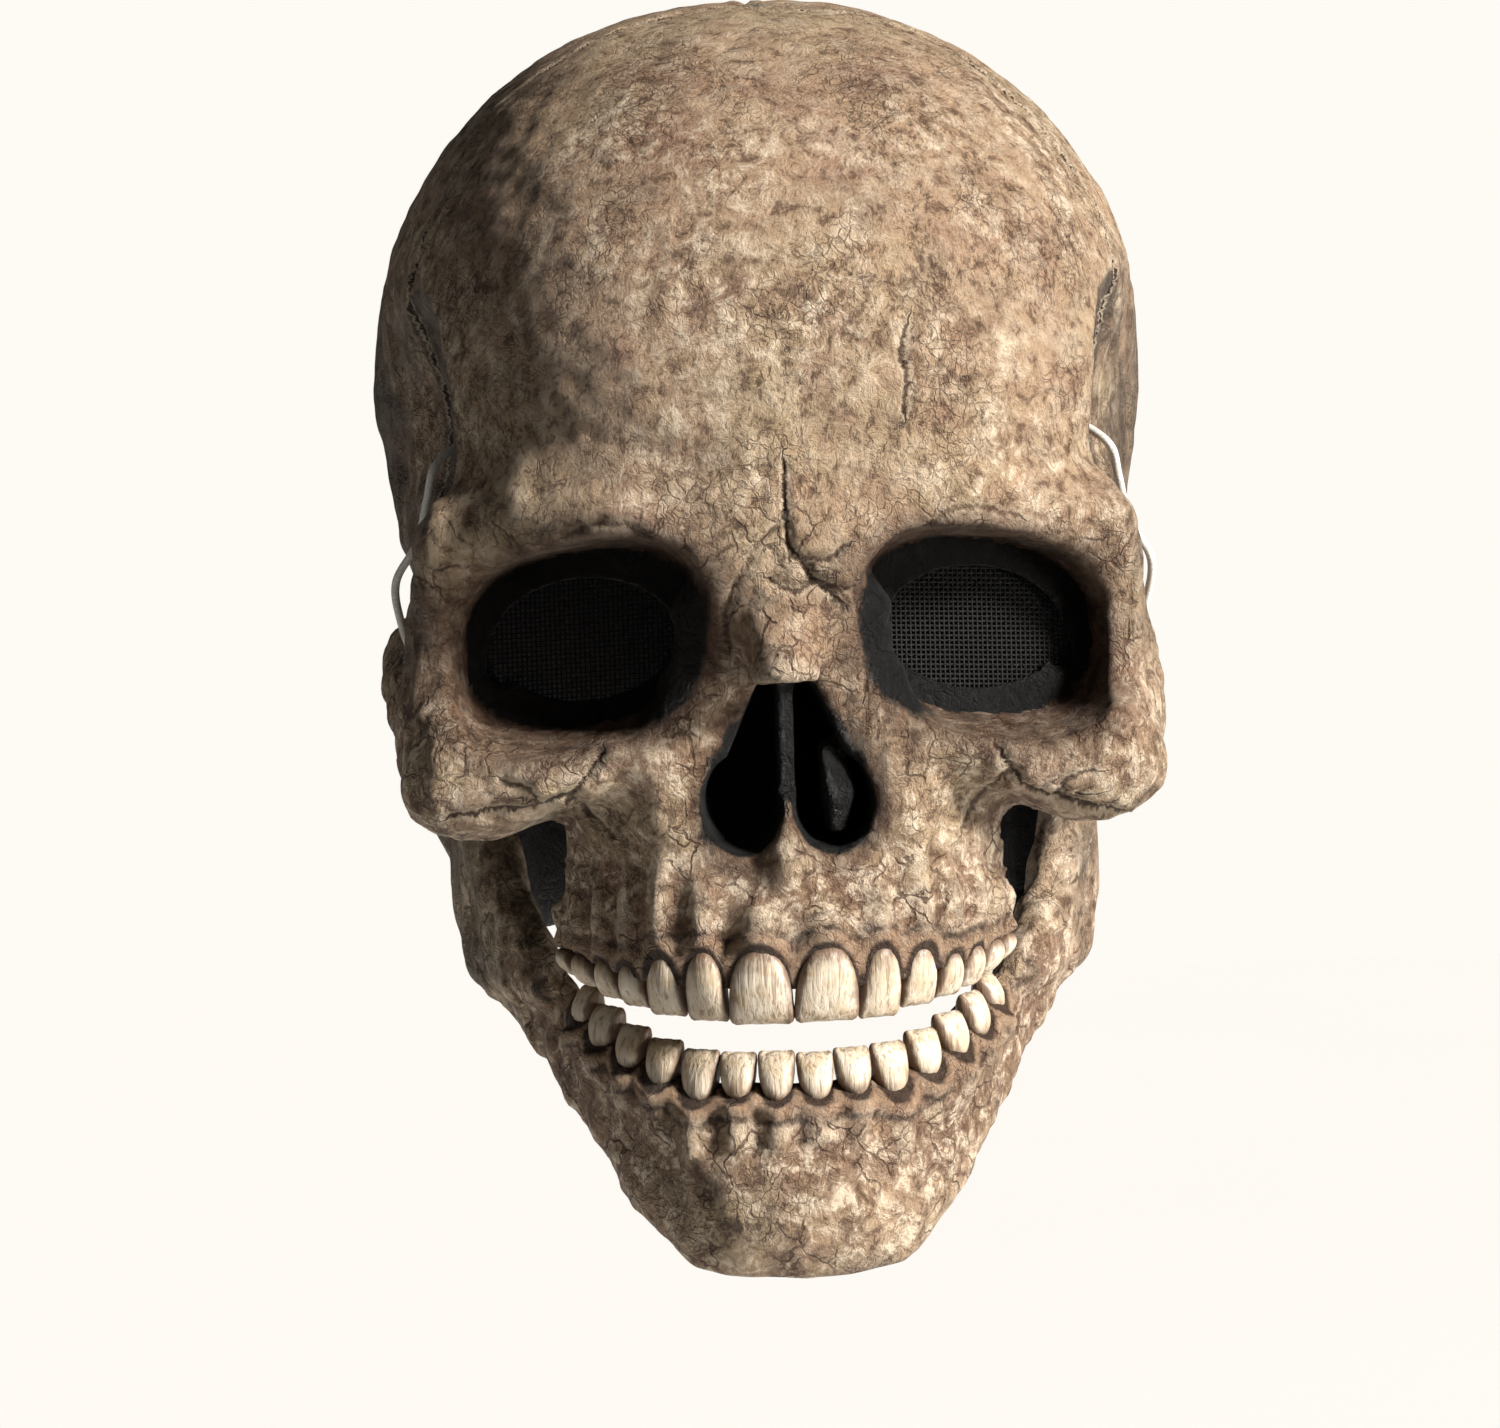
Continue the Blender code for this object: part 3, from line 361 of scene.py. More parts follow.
def face_block(clay):
    """The upright block behind the eyes, nose and upper teeth."""
    x, y, z = clay.x, clay.y, clay.z
    half = by_height(z, FACE_SECTIONS, 1, HALF_WIDTH)
    front = by_height(z, FACE_SECTIONS, 2, FACE_REACH)
    centre = -FACE_CENTRE * FACE_REACH
    along = np.abs(y - centre) / (front + centre)
    oval = (np.abs(x) / half) ** FACE_SQUARE + along**FACE_SQUARE
    field = oval ** (1 / FACE_SQUARE) - 1
    field = field / steepness(field, clay.step)
    top = -FACE_SECTIONS[0][0] * SKULL_HEIGHT
    return np.maximum(field, z - top)


print("the face has", len(FACE_SECTIONS), "sections")

# %% [markdown]
# ## Brow, cheekbones and arches
#
# These are ropes of clay that are laid on and smoothed in: the brow ridge over each socket,
# the socket's outer rim, the cheekbone as a tilted ellipsoid, the rim below the socket, the
# arch that runs back to the ear, and the knob behind it.

# %% Brow and cheeks
BROW_AND_CHEEKS = (
    # form, blend
    # The brow ridge, and the middle between the brows.
    (bar((0.15, 0.900, 0.530, 0.09), (0.36, 0.880, 0.500, 0.09), (0.58, 0.790, 0.492, 0.09),
         (0.775, 0.655, 0.515, 0.09)), 0.15),
    (ball((0, 0.885, 0.490), (0.20, 0.13, 0.14)), 0.12),
    # The socket's outer rim, the cheekbone, and the rim below the socket.
    (bar((0.790, 0.690, 0.520, 0.09), (0.835, 0.625, 0.600, 0.075), (0.825, 0.620, 0.690, 0.11)), 0.06),
    (ball((0.735, 0.660, 0.760), (0.215, 0.150, 0.150), tilt(-32, "Z") @ tilt(8, "Y")), 0.12),
    (bar((0.36, 0.815, 0.725, 0.07), (0.58, 0.795, 0.745, 0.09), (0.74, 0.720, 0.735, 0.11)), 0.15),
    # The arch that runs back to the ear, and the knob behind it.
    (bar((0.810, 0.560, 0.730, 0.14), (0.845, 0.320, 0.705, 0.135), (0.860, 0.060, 0.675, 0.135),
         (0.800, -0.200, 0.660, 0.14)), 0.07),
    (bar((0.800, -0.260, 0.700, 0.15), (0.745, -0.230, 0.850, 0.14), (0.705, -0.200, 0.930, 0.10)), 0.10),
)


def add_brow_and_cheeks(clay):
    for form, blend in BROW_AND_CHEEKS:
        clay.add(form, blend * HALF_WIDTH)


print("the brow and the cheeks are", len(BROW_AND_CHEEKS), "forms")

# %% [markdown]
# ## Nose
#
# The bridge and its flanks are added first. The opening is a pear with two lobes below,
# carved to a closed floor, and a thin wall stands in it. The real casting also has a lumpy
# scroll of bone on one side of the opening, which is added at the end.

# %% Nose
NOSE_TOP = 0.658
NOSE_FRONT = 0.96
LOBE_DROP = 0.76 * NOSE_HEIGHT


def pear(x, down, half):
    """How far a spot, seen from the front, is outside the nose's outline."""
    lobe = np.sqrt(((x - 0.50 * half) / 0.50) ** 2 + ((down - LOBE_DROP) / 0.62) ** 2)
    lobe = (lobe - half) * 0.52
    neck = np.clip(down / LOBE_DROP, 0, 1)
    side = 0.30 * half + 0.62 * half * neck**0.85
    throat = np.maximum(x - side, np.maximum(-down, down - LOBE_DROP))
    return np.minimum(lobe, throat)


def nose_recess():
    top = -NOSE_TOP * SKULL_HEIGHT
    half = NOSE_WIDTH / 2
    floor = -NOSE_FRONT * FACE_REACH + NOSE_DEPTH

    def measure(x, y, z):
        outline = pear(x, top - z, half)
        narrowing = 0.10 * (y - floor + NOSE_DEPTH)
        return np.maximum(outline + np.maximum(narrowing, -0.1 * half), y - floor)

    low = np.array((-half, -1.2 * FACE_REACH, top - NOSE_HEIGHT))
    return (low, np.array((half, floor, top))), measure


def septum():
    """The thin upright wall inside the nose, set back from the rim."""
    top = -NOSE_TOP * SKULL_HEIGHT
    front = -NOSE_FRONT * FACE_REACH + 0.42 * NOSE_DEPTH
    back = -NOSE_FRONT * FACE_REACH + NOSE_DEPTH + WALL
    low = np.array((0, front, top - NOSE_HEIGHT))
    high = np.array((SEPTUM / 2, back, top + 2 * WALL))

    def measure(x, y, z):
        return np.maximum(
            np.maximum(x - high[0], front + 0.18 * (top - z) - y),
            np.maximum(y - back, np.maximum(low[2] - z, z - high[2])),
        )

    return (low, high), measure


NOSE_FORMS = (
    # form, blend: the bridge, a flank on each side, and the spine below the opening
    (bar((0, 0.86, 0.555, 0.10), (0, 0.905, 0.610, 0.095), (0, 0.975, 0.652, 0.080)), 0.09),
    (bar((0.20, 0.800, 0.600, 0.07), (0.24, 0.790, 0.700, 0.075), (0.28, 0.800, 0.800, 0.08)), 0.08),
    (bar((0, 0.88, 0.835, 0.045), (0, 0.86, 0.900, 0.05)), 0.06),
)
SCROLL = bar((0.105, 0.80, 0.735, 0.030), (0.125, 0.82, 0.775, 0.042), (0.12, 0.80, 0.808, 0.030))


def add_nose(clay):
    for form, blend in NOSE_FORMS:
        clay.add(form, blend * HALF_WIDTH)
    clay.carve(nose_recess(), 0.015 * HALF_WIDTH)
    clay.add(septum(), 0.02 * HALF_WIDTH)
    clay.add(SCROLL, 0.015 * HALF_WIDTH, both=False)


print("the nose opening is", NOSE_WIDTH, "m wide")

# %% [markdown]
# ## Sockets, temples and hollows
#
# A socket narrows towards a floor that turns outwards with the face, and the hole that the
# wearer looks through is a smaller oval in that floor. The temples are scooped out behind
# the brow, and shallower scoops lie beside the nose and under the cheekbones.

# %% Eye sockets
SOCKET_DOWN = 0.624
SOCKET_FRONT = 0.90
SOCKET_SQUARE = 2.6
SOCKET_TURN = 0.24


def socket_floor(x):
    """Where the socket's floor lies: it turns outwards with the face."""
    floor = SOCKET_DEPTH - SOCKET_FRONT * FACE_REACH
    return floor + SOCKET_TURN * (x - EYE_HOLE_SPACING / 2)


def socket_ring(x, y, z):
    """How far a spot is outside the socket's side wall."""
    centre_x = SOCKET_SPACING / 2
    centre_z = -SOCKET_DOWN * SKULL_HEIGHT
    inward = np.clip((y - socket_floor(x)) / SOCKET_DEPTH + 1, -0.6, 1)
    slide = inward * (EYE_HOLE_SPACING / 2 - centre_x)
    half_x = SOCKET_WIDTH / 2 * (1 - 0.13 * inward)
    half_z = SOCKET_HEIGHT / 2 * (1 - 0.20 * inward)
    droop = 0.14 * (x - centre_x)
    u = np.abs(x - centre_x - slide) / half_x
    v = np.abs(z - centre_z + droop) / half_z
    ring = (u**SOCKET_SQUARE + v**SOCKET_SQUARE) ** (1 / SOCKET_SQUARE)
    return (ring - 1) * np.minimum(half_x, half_z)


def socket():
    centre = np.array((SOCKET_SPACING / 2, 0, -SOCKET_DOWN * SKULL_HEIGHT))
    floor = socket_floor(centre[0])
    half = np.array((SOCKET_WIDTH / 2, SOCKET_TURN * SOCKET_WIDTH / 2, SOCKET_HEIGHT * 0.7))

    def measure(x, y, z):
        return np.maximum(socket_ring(x, y, z), y - socket_floor(x))

    low = centre + (0, -1.2 * FACE_REACH, 0) - half
    return (low, centre + (0, floor, 0) + half), measure


def eye_hole(grow=0.0, start=-0.5 * SOCKET_DEPTH, end=3 * WALL):
    """The hole in the socket's floor. grow widens it, and start and end are measured
    from the floor along the way that the wearer looks in."""
    centre_x = EYE_HOLE_SPACING / 2
    centre_z = -SOCKET_DOWN * SKULL_HEIGHT
    half_x = EYE_HOLE_WIDTH / 2 + grow
    half_z = EYE_HOLE_HEIGHT / 2 + grow
    floor = socket_floor(centre_x)

    def measure(x, y, z):
        u = np.abs(x - centre_x) / half_x
        v = np.abs(z - centre_z + EYE_HOLE_SLANT * (x - centre_x)) / half_z
        ring = (np.sqrt(u**2 + v**2) - 1) * half_z
        along = np.abs(y - socket_floor(x) - (start + end) / 2) - (end - start) / 2
        return np.maximum(ring, along)

    half = np.array((half_x, SOCKET_TURN * half_x, half_z * 1.2))
    low = np.array((centre_x, floor + start, centre_z)) - half
    high = np.array((centre_x, floor + end, centre_z)) + half
    return (low, high), measure


print("the eye holes are", EYE_HOLE_SPACING, "m apart")

# %% Temples and hollows
TEMPLE = ball((1.02, 0.500, 0.425), (0.27, 0.34, 0.46))
BEHIND_SOCKET = ball((1.00, 0.310, 0.570), (0.20, 0.23, 0.20))
SCOOPS = (
    # form, blend: the temple and its far end, behind the socket, beside the nose, the cheek
    (TEMPLE, 0.02),
    (ball((1.10, 0.250, 0.420), (0.22, 0.40, 0.40)), 0.12),
    (BEHIND_SOCKET, 0.05),
    (ball((0.40, 1.000, 0.800), (0.12, 0.16, 0.13)), 0.09),
    (ball((0.80, 0.800, 0.930), (0.21, 0.26, 0.20)), 0.06),
)


def add_hollows(clay):
    """The scoops, then a wall behind the socket's rim, then the socket itself."""
    for form, blend in SCOOPS:
        clay.carve(form, blend * HALF_WIDTH)
    clay.add(ball((0.785, 0.545, 0.604), (0.083, 0.115, 0.24)), 0.03 * HALF_WIDTH)
    clay.carve(socket(), 0.02 * HALF_WIDTH)


print("the temple's deepest spot is near", place(0.75, 0.5, 0.425))

# %% [markdown]
# ## Where the teeth stand
#
# Each row of teeth follows half an oval, seen from above. A table gives every tooth of one
# side its share of the row, its height and how far its edge is lifted, and one function
# turns that into places. The same places serve the crowns, the ridges that their roots
# raise in the bone, and later the gums' paint.

# %% Tooth places
UPPER_ARCH_WIDTH = 0.539 * SKULL_WIDTH
UPPER_ARCH_REACH = 0.458 * FACE_REACH
BITE_STEP = 3 * MM
LOWER_ARCH_WIDTH = UPPER_ARCH_WIDTH - 2 * BITE_STEP
LOWER_ARCH_REACH = UPPER_ARCH_REACH - BITE_STEP
UPPER_ROW_SHARE = 0.888
LOWER_ROW_SHARE = 0.866
UPPER_CROWN = 18 * MM
LOWER_CROWN = 11.5 * MM
TOOTH_THICKNESS = 8 * MM
TOOTH_GAP = 0.6 * MM
MOUTH_GAP = 8.5 * MM
ARCH_CENTRE = 0.43
UPPER_TEETH = (
    # width, height, lift, root
    (0.205, 1.00, 0.00, 0.60),
    (0.140, 0.94, 0.02, 0.95),
    (0.135, 0.84, 0.08, 1.35),
    (0.115, 0.62, 0.14, 1.10),
    (0.115, 0.56, 0.21, 1.00),
    (0.145, 0.46, 0.30, 0.85),
    (0.145, 0.38, 0.38, 0.70),
)
LOWER_TEETH = (
    # width, height, lift, root
    (0.130, 1.00, 0.00, 0.90),
    (0.130, 0.96, 0.02, 1.00),
    (0.140, 1.12, 0.06, 1.30),
    (0.140, 0.98, 0.20, 1.00),
    (0.145, 0.92, 0.44, 0.80),
    (0.160, 0.86, 0.72, 0.60),
    (0.155, 0.80, 1.00, 0.50),
)


def arch_line(half_width, reach):
    """Points along one side of a tooth arch, and how far along it each one is."""
    angles = np.linspace(0, np.pi / 2, 400)
    xs = half_width * np.sin(angles)
    ys = -ARCH_CENTRE * FACE_REACH - reach * np.cos(angles)
    run = np.concatenate(([0], np.cumsum(np.hypot(np.diff(xs), np.diff(ys)))))
    return angles, xs, ys, run


def teeth(table, row_share, half_width, reach, crown, edge_height, sign):
    """Where each tooth of one side stands. sign is 1 for a row that hangs, -1 for one that
    stands up."""
    angles, xs, ys, run = arch_line(half_width, reach)
    passed = 0.0
    for number, (width, height, lift, root) in enumerate(table):
        span = width * row_share * run[-1]
        t = np.interp(passed + span / 2, run, angles)
        outward = np.array((np.sin(t) / half_width, -np.cos(t) / reach))
        edge = edge_height + lift * crown
        gum = edge + sign * height * crown
        yield {
            "number": number,
            "along": passed + span / 2,
            "centre": np.array((np.interp(t, angles, xs), np.interp(t, angles, ys))),
            "outward": unit(outward),
            "span": span,
            "edge": edge,
            "gum": gum,
            "root": gum + sign * root * crown,
        }
        passed += span


UPPER_ARCH = (UPPER_ARCH_WIDTH / 2, UPPER_ARCH_REACH)
LOWER_ARCH = (LOWER_ARCH_WIDTH / 2, LOWER_ARCH_REACH)
upper_row = list(teeth(UPPER_TEETH, UPPER_ROW_SHARE, *UPPER_ARCH, UPPER_CROWN, -TOOTH_DROP, 1))
lower_edge = -TOOTH_DROP - MOUTH_GAP
lower_row = list(teeth(LOWER_TEETH, LOWER_ROW_SHARE, *LOWER_ARCH, LOWER_CROWN, lower_edge, -1))


def root_ridge(spot, lean):
    """The low ridge that a tooth's root raises in the bone. lean carries its far end back."""
    inset = 0.20 * TOOTH_THICKNESS
    near = spot["centre"] - inset * spot["outward"]
    far = spot["centre"] - (inset + lean) * spot["outward"]
    thick = 0.40 * spot["span"]
    return rope(((*near, spot["gum"]), (*far, spot["root"])), (thick, 0.45 * thick))


print("teeth:", 2 * len(upper_row), "above and", 2 * len(lower_row), "below")

# %% [markdown]
# ## Rim, hollow and the whole skull
#
# The castings' lower edge follows the gums in front, lifts over the cheeks and drops to the
# nape behind. The hollow is the body's own field, averaged so that small forms don't show
# inside, and moved in by a wall's thickness. Where the elastic cords go through a wall, a
# short rope is carved out of it.

# %% Skull clay
GUM_LINE = 0.970
GUM_RISE = 0.028
MAXILLA_BACK = 0.62
NAPE_FRONT = 0.10
NOTCH_BLEND = 12 * MM
CHEEK_BLEND = 18 * MM
SKULL_SOFTNESS = 5 * MM
GAUZE_OVERLAP = 3.5 * MM
CORD_DIAMETER = 2 * MM
CORD_HOLE = 3.2 * MM
CORD_WAY = (
    # across, fore, down, wall
    (0.690, 0.560, 0.412, None),
    (0.760, 0.590, 0.424, "skull"),
    (0.828, 0.626, 0.446, None),
    (0.850, 0.600, 0.478, None),
    (0.880, 0.545, 0.525, None),
    (0.938, 0.495, 0.567, None),
    (0.930, 0.445, 0.612, None),
    (0.892, 0.400, 0.668, "skull"),
    (0.882, 0.345, 0.715, None),
    (0.890, 0.250, 0.770, None),
    (0.880, 0.160, 0.822, None),
    (0.825, 0.125, 0.842, "jaw"),
    (0.755, 0.083, 0.866, None),
)


def rim_cut(clay):
    """Positive below the skull's lower edge."""
    y, z = clay.y, clay.z
    nape = -NAPE_DROP - z
    notch_front = y + MAXILLA_BACK * FACE_REACH + 0.60 * (z + 0.85 * SKULL_HEIGHT)
    notch_back = NAPE_FRONT * BACK_REACH + 0.10 * (z + NAPE_DROP) - y
    cheek = -CHEEK_RIM_DROP - 0.28 * (-y - 0.30 * FACE_REACH) - z
    sides = soft_max(soft_max(-notch_front, -notch_back, NOTCH_BLEND), -cheek, CHEEK_BLEND)
    rise = np.clip(1 + (y + 0.60 * FACE_REACH) / (0.30 * FACE_REACH), 0, 1)
    gum = -(GUM_LINE - GUM_RISE * rise) * SKULL_HEIGHT - z
    front = np.where(y < -0.5 * MAXILLA_BACK * FACE_REACH, gum, nape)
    return np.maximum(front, -sides)


def softened(field, cells):
    """The field averaged over a few grid cells each way, which rounds off its details."""
    for axis in range(3):
        margins = [(0, 0)] * 3
        margins[axis] = (cells, cells)
        total = np.cumsum(np.pad(field, margins, mode="edge"), axis=axis, dtype=np.float64)
        total = np.insert(total, 0, 0, axis=axis)
        width = 2 * cells + 1
        ahead = np.take(total, np.arange(width, total.shape[axis]), axis=axis)
        behind = np.take(total, np.arange(0, total.shape[axis] - width), axis=axis)
        field = ((ahead - behind) / width).astype(np.float32)
    return field


def cells_of(length):
    return max(1, int(round(length / CLAY_STEP)))


def hollow(clay, softness):
    return np.maximum(softened(clay.distance, cells_of(softness)), clay.distance) + WALL


def bore_cord_holes(clay, wall):
    way = [place(*row[:3]) for row in CORD_WAY]
    for row in (row for row, spot in enumerate(CORD_WAY) if spot[3] == wall):
        run = unit(way[row + 1] - way[row - 1]) * 2.2 * WALL
        clay.carve(rope((way[row] - run, way[row] + run), (CORD_HOLE / 2, CORD_HOLE / 2)))


def skull_clay():
    """The skull casting without its teeth: a body hollowed to a wall, and open below.
    Returns the clay, the hollow's field and the body's field before it was cut."""
    low = (-1.10 * HALF_WIDTH, -1.12 * FACE_REACH, -1.08 * SKULL_HEIGHT)
    high = (1.10 * HALF_WIDTH, 1.06 * BACK_REACH, 4 * WALL)
    clay = Clay(low, high, CLAY_STEP)
    clay.distance[:] = vault(clay)
    clay.distance[:] = soft_min(clay.distance, face_block(clay), 0.10 * HALF_WIDTH)
    add_brow_and_cheeks(clay)
    add_hollows(clay)
    add_nose(clay)
    for spot in upper_row:
        clay.add(root_ridge(spot, 0.1 * TOOTH_THICKNESS), 0.03 * HALF_WIDTH)
    body = clay.distance.copy()
    inside = hollow(clay, SKULL_SOFTNESS)
    clay.distance[:] = np.maximum(clay.distance, rim_cut(clay))
    clay.distance[:] = np.maximum(clay.distance, -inside)
    clay.carve(eye_hole(GAUZE_OVERLAP + WALL, WALL, 5 * WALL))
    clay.carve(eye_hole())
    bore_cord_holes(clay, "skull")
    return clay, inside, body


skull, skull_inside, skull_body = skull_clay()
print("skull clay:", skull.distance.shape, "points,", round(time.time() - started, 1), "s so far")

# %% [markdown]
# ## Lower jaw
#
# The jaw is a bent bar whose section changes from the chin back to the angle, so it is
# measured along its own track: for every spot seen from above, how far outside the track it
# is, and which row of the table is nearest. Two upright plates rise from it into the skull.

# %% Jaw clay
JAW_WIDTH = 0.829 * SKULL_WIDTH
CHIN_DROP = 298 * MM
RAMUS_THICKNESS = 12 * MM
RAMUS_ROPES = 9
RAMUS_BLEND = 3 * MM
JAW_GUM_BLEND = 6 * MM
JAW_ROOT_BLEND = 2.5 * MM
JAW_SOFTNESS = 1 * MM
JAW_SQUARE = 2.4
JAW_GUM_THICKNESS = 13 * MM
JAW_GUM_COVER = 4 * MM
JAW_HALF = JAW_WIDTH / 2
JAW_STATIONS = (
    # across, fore, top, bottom, depth
    (0.000, 0.925, 1.090, 0.9952, 0.19),
    (0.210, 0.915, 1.088, 0.9952, 0.19),
    (0.370, 0.850, 1.075, 0.9889, 0.17),
    (0.510, 0.735, 1.045, 0.9526, 0.15),
    (0.650, 0.570, 1.005, 0.8951, 0.13),
    (0.800, 0.370, 0.955, 0.8399, 0.11),
    (0.930, 0.190, 0.910, 0.7965, 0.10),
    (0.995, 0.060, 0.880, 0.7570, 0.10),
)
RAMUS_FRONT = (
    # across, fore, down
    (0.985, 0.240, 0.800),
    (0.960, 0.265, 0.850),
    (0.890, 0.345, 0.925),
    (0.800, 0.455, 0.990),
)
RAMUS_REAR = (
    # across, fore, down
    (1.000, 0.020, 0.800),
    (1.000, 0.030, 0.860),
    (0.995, 0.075, 0.930),
    (0.960, 0.180, 0.985),
)


def jaw_place(across, fore, down):
    return np.array((across * JAW_HALF, -fore * FACE_REACH, -down * SKULL_HEIGHT))


def jaw_track(clay):
    """How far outside the jaw's outer face each spot is, and the nearest station's columns."""
    rows = np.array(JAW_STATIONS)
    fine = np.linspace(0, len(rows) - 1, 300)
    columns = [np.interp(fine, np.arange(len(rows)), rows[:, i]) for i in range(5)]
    kernel = np.ones(31) / 31
    columns = [np.convolve(np.pad(c, 15, mode="edge"), kernel, mode="valid") for c in columns]
    line = np.stack((columns[0] * JAW_HALF, -columns[1] * FACE_REACH), axis=1)
    x = np.abs(clay.x[:, 0, 0])[:, None, None]
    y = clay.y[0, :, 0][None, :, None]
    away = np.hypot(x - line[:, 0], y - line[:, 1])
    nearest = away.argmin(axis=2)
    run = np.gradient(line, axis=0)
    run = run / np.linalg.norm(run, axis=1)[:, None]
    side = (x[..., 0] - line[nearest, 0]) * run[nearest, 1] * -1
    side = side + (y[..., 0] - line[nearest, 1]) * run[nearest, 0]
    signed = np.where(side < 0, 1, -1) * away.min(axis=2)
    return signed[:, :, None], [column[nearest][:, :, None] for column in columns]


def jaw_clay():
    """The jaw casting without its teeth: a trough that is open on the inner side."""
    low = (-1.10 * JAW_HALF, -1.08 * FACE_REACH, -1.04 * CHIN_DROP)
    high = (1.10 * JAW_HALF, 0.16 * BACK_REACH, -0.74 * SKULL_HEIGHT)
    clay = Clay(low, high, CLAY_STEP)
    outside, (_, _, top, bottom, depth) = jaw_track(clay)
    deep = depth * JAW_HALF / 2
    u = np.abs(outside + deep) / deep
    upper, lower = -top * SKULL_HEIGHT, -bottom * CHIN_DROP
    v = np.abs(clay.z - (upper + lower) / 2) / ((upper - lower) / 2)
    oval = (u**JAW_SQUARE + v**JAW_SQUARE) ** (1 / JAW_SQUARE) - 1
    field = oval / steepness(oval, CLAY_STEP)
    clay.distance[:] = np.maximum(field, clay.y + JAW_STATIONS[-1][1] * FACE_REACH)
    thick = RAMUS_THICKNESS / 2
    inward = np.array((thick, 0, 0))
    front, rear = ([jaw_place(*row) - inward for row in edge] for edge in (RAMUS_FRONT, RAMUS_REAR))
    for share in np.linspace(0, 1, RAMUS_ROPES):
        line = [a * (1 - share) + b * share for a, b in zip(front, rear)]
        clay.add(rope(line, [thick] * len(line)), RAMUS_BLEND)
    add_jaw_gums(clay)
    body = clay.distance.copy()
    inside = hollow(clay, JAW_SOFTNESS)
    open_side = -outside - np.maximum(2 * deep - WALL / 2, RAMUS_THICKNESS / 2)
    clay.distance[:] = np.maximum(clay.distance, -inside)
    clay.distance[:] = np.maximum(clay.distance, open_side)
    bore_cord_holes(clay, "jaw")
    return clay, inside, body


def add_jaw_gums(clay):
    """The swelling under the lower teeth, their root ridges and the chin's knob."""
    thick = JAW_GUM_THICKNESS / 2
    sunk = thick - JAW_GUM_COVER
    crest = [(*(s["centre"] - 0.15 * thick * s["outward"]), s["gum"] - sunk) for s in lower_row]
    crest.insert(0, (0, crest[0][1] - 0.15 * thick, crest[0][2]))
    clay.add(rope(crest, [thick] * len(crest)), JAW_GUM_BLEND)
    swell = (0.22 * JAW_HALF, 0.13 * JAW_HALF, 0.17 * JAW_HALF)
    chin = np.array((0.0, -0.865 * FACE_REACH, -0.934 * CHIN_DROP))
    clay.add(ellipsoid(chin, swell), JAW_GUM_BLEND)
    for spot in lower_row:
        clay.add(root_ridge(spot, 0.0), JAW_ROOT_BLEND)


jaw, jaw_inside, jaw_body = jaw_clay()
print("jaw clay:", jaw.distance.shape, "points,", round(time.time() - started, 1), "s so far")

# %% [markdown]
# ## From clay to a mesh
#
# OpenVDB walks through the grid and lays quads on the surface. A few closed bubbles can be
# left inside a wall, so only the largest connected surface is kept. Blender's Decimate then
# thins it. It reads a vertex group, so the hidden inner wall is thinned much more than the
# outer face, which needs its points for the relief.

# %% Meshing
INNER_WALL = 0.6 * MM
THINNING = 1e-4
SKULL_TRIANGLES = 190000
JAW_TRIANGLES = 90000


def largest_piece(points, quads):
    """Drops closed bubbles: keeps the largest connected surface."""
    label = np.arange(len(points))
    ends = np.concatenate([quads[:, [i, (i + 1) % 4]] for i in range(4)])
    while True:
        low = np.minimum(label[ends[:, 0]], label[ends[:, 1]])
        before = label.copy()
        np.minimum.at(label, ends[:, 0], low)
        np.minimum.at(label, ends[:, 1], low)
        label = label[label]
        if (label == before).all():
            break
    found, count = np.unique(label, return_counts=True)
    kept = label == found[count.argmax()]
    number = np.cumsum(kept) - 1
    return points[kept], number[quads[kept[quads[:, 0]]]]


def as_object(name, points, faces):
    mesh = bpy.data.meshes.new(name)
    mesh.from_pydata(np.asarray(points, float).tolist(), [], faces)
    mesh.update()
    made = bpy.data.objects.new(name, mesh)
    bpy.context.scene.collection.objects.link(made)
    return made


def smooth(made):
    made.data.polygons.foreach_set("use_smooth", np.ones(len(made.data.polygons), bool))


def applied(made):
    """Turns an object's modifiers into its plain mesh."""
    graph = bpy.context.evaluated_depsgraph_get()
    mesh = bpy.data.meshes.new_from_object(made.evaluated_get(graph))
    made.modifiers.clear()
    made.vertex_groups.clear()
    made.data = mesh
    mesh.name = made.name
    return made


def casting(name, clay, inside, most):
    """The clay's surface as a mesh of at most that many triangles."""
    grid = openvdb.FloatGrid(FAR)
    grid.copyFromArray(np.ascontiguousarray(clay.distance, dtype=np.float32))
    points, _, quads = grid.convertToPolygons(isovalue=0.0, adaptivity=0.0)
    points, quads = largest_piece(points, quads)
    points = points.astype(float) * clay.step + clay.low
    made = as_object(name, points, quads.tolist())
    hidden = np.flatnonzero(np.abs(clay.at(points, inside)) < INNER_WALL)
    group = made.vertex_groups.new(name="thinned")
    group.add(list(range(len(points))), 0.5, "REPLACE")
    group.add(hidden.tolist(), 1.0, "REPLACE")
    thin = made.modifiers.new("Decimate", "DECIMATE")
    thin.vertex_group = "thinned"
    thin.vertex_group_factor = THINNING
    thin.ratio = min(1.0, most / (2 * len(quads)))
    print(name, "had", 2 * len(quads), "triangles,", end=" ")
    return applied(made)


skull_casting = casting("skull_casting", skull, skull_inside, SKULL_TRIANGLES)
print("and has", len(skull_casting.data.polygons))
jaw_casting = casting("jaw_casting", jaw, jaw_inside, JAW_TRIANGLES)
print("and has", len(jaw_casting.data.polygons), round(time.time() - started, 1), "s so far")

# %% [markdown]
# ## Relief
#
# The painted bone isn't smooth: it has lumps the size of a thumb, smaller dimples, sutures,
# cracks and grain. Sculpting brushes could make them, or a displacement texture. Here each
# point of the mesh is moved along its normal by a sum of simple rules, because the same
# rules can then hand their values to the paint as attributes, so that the dark wash lies
# exactly in the grooves. The first helper is seeded noise that is the same at every
# fineness of the mesh.

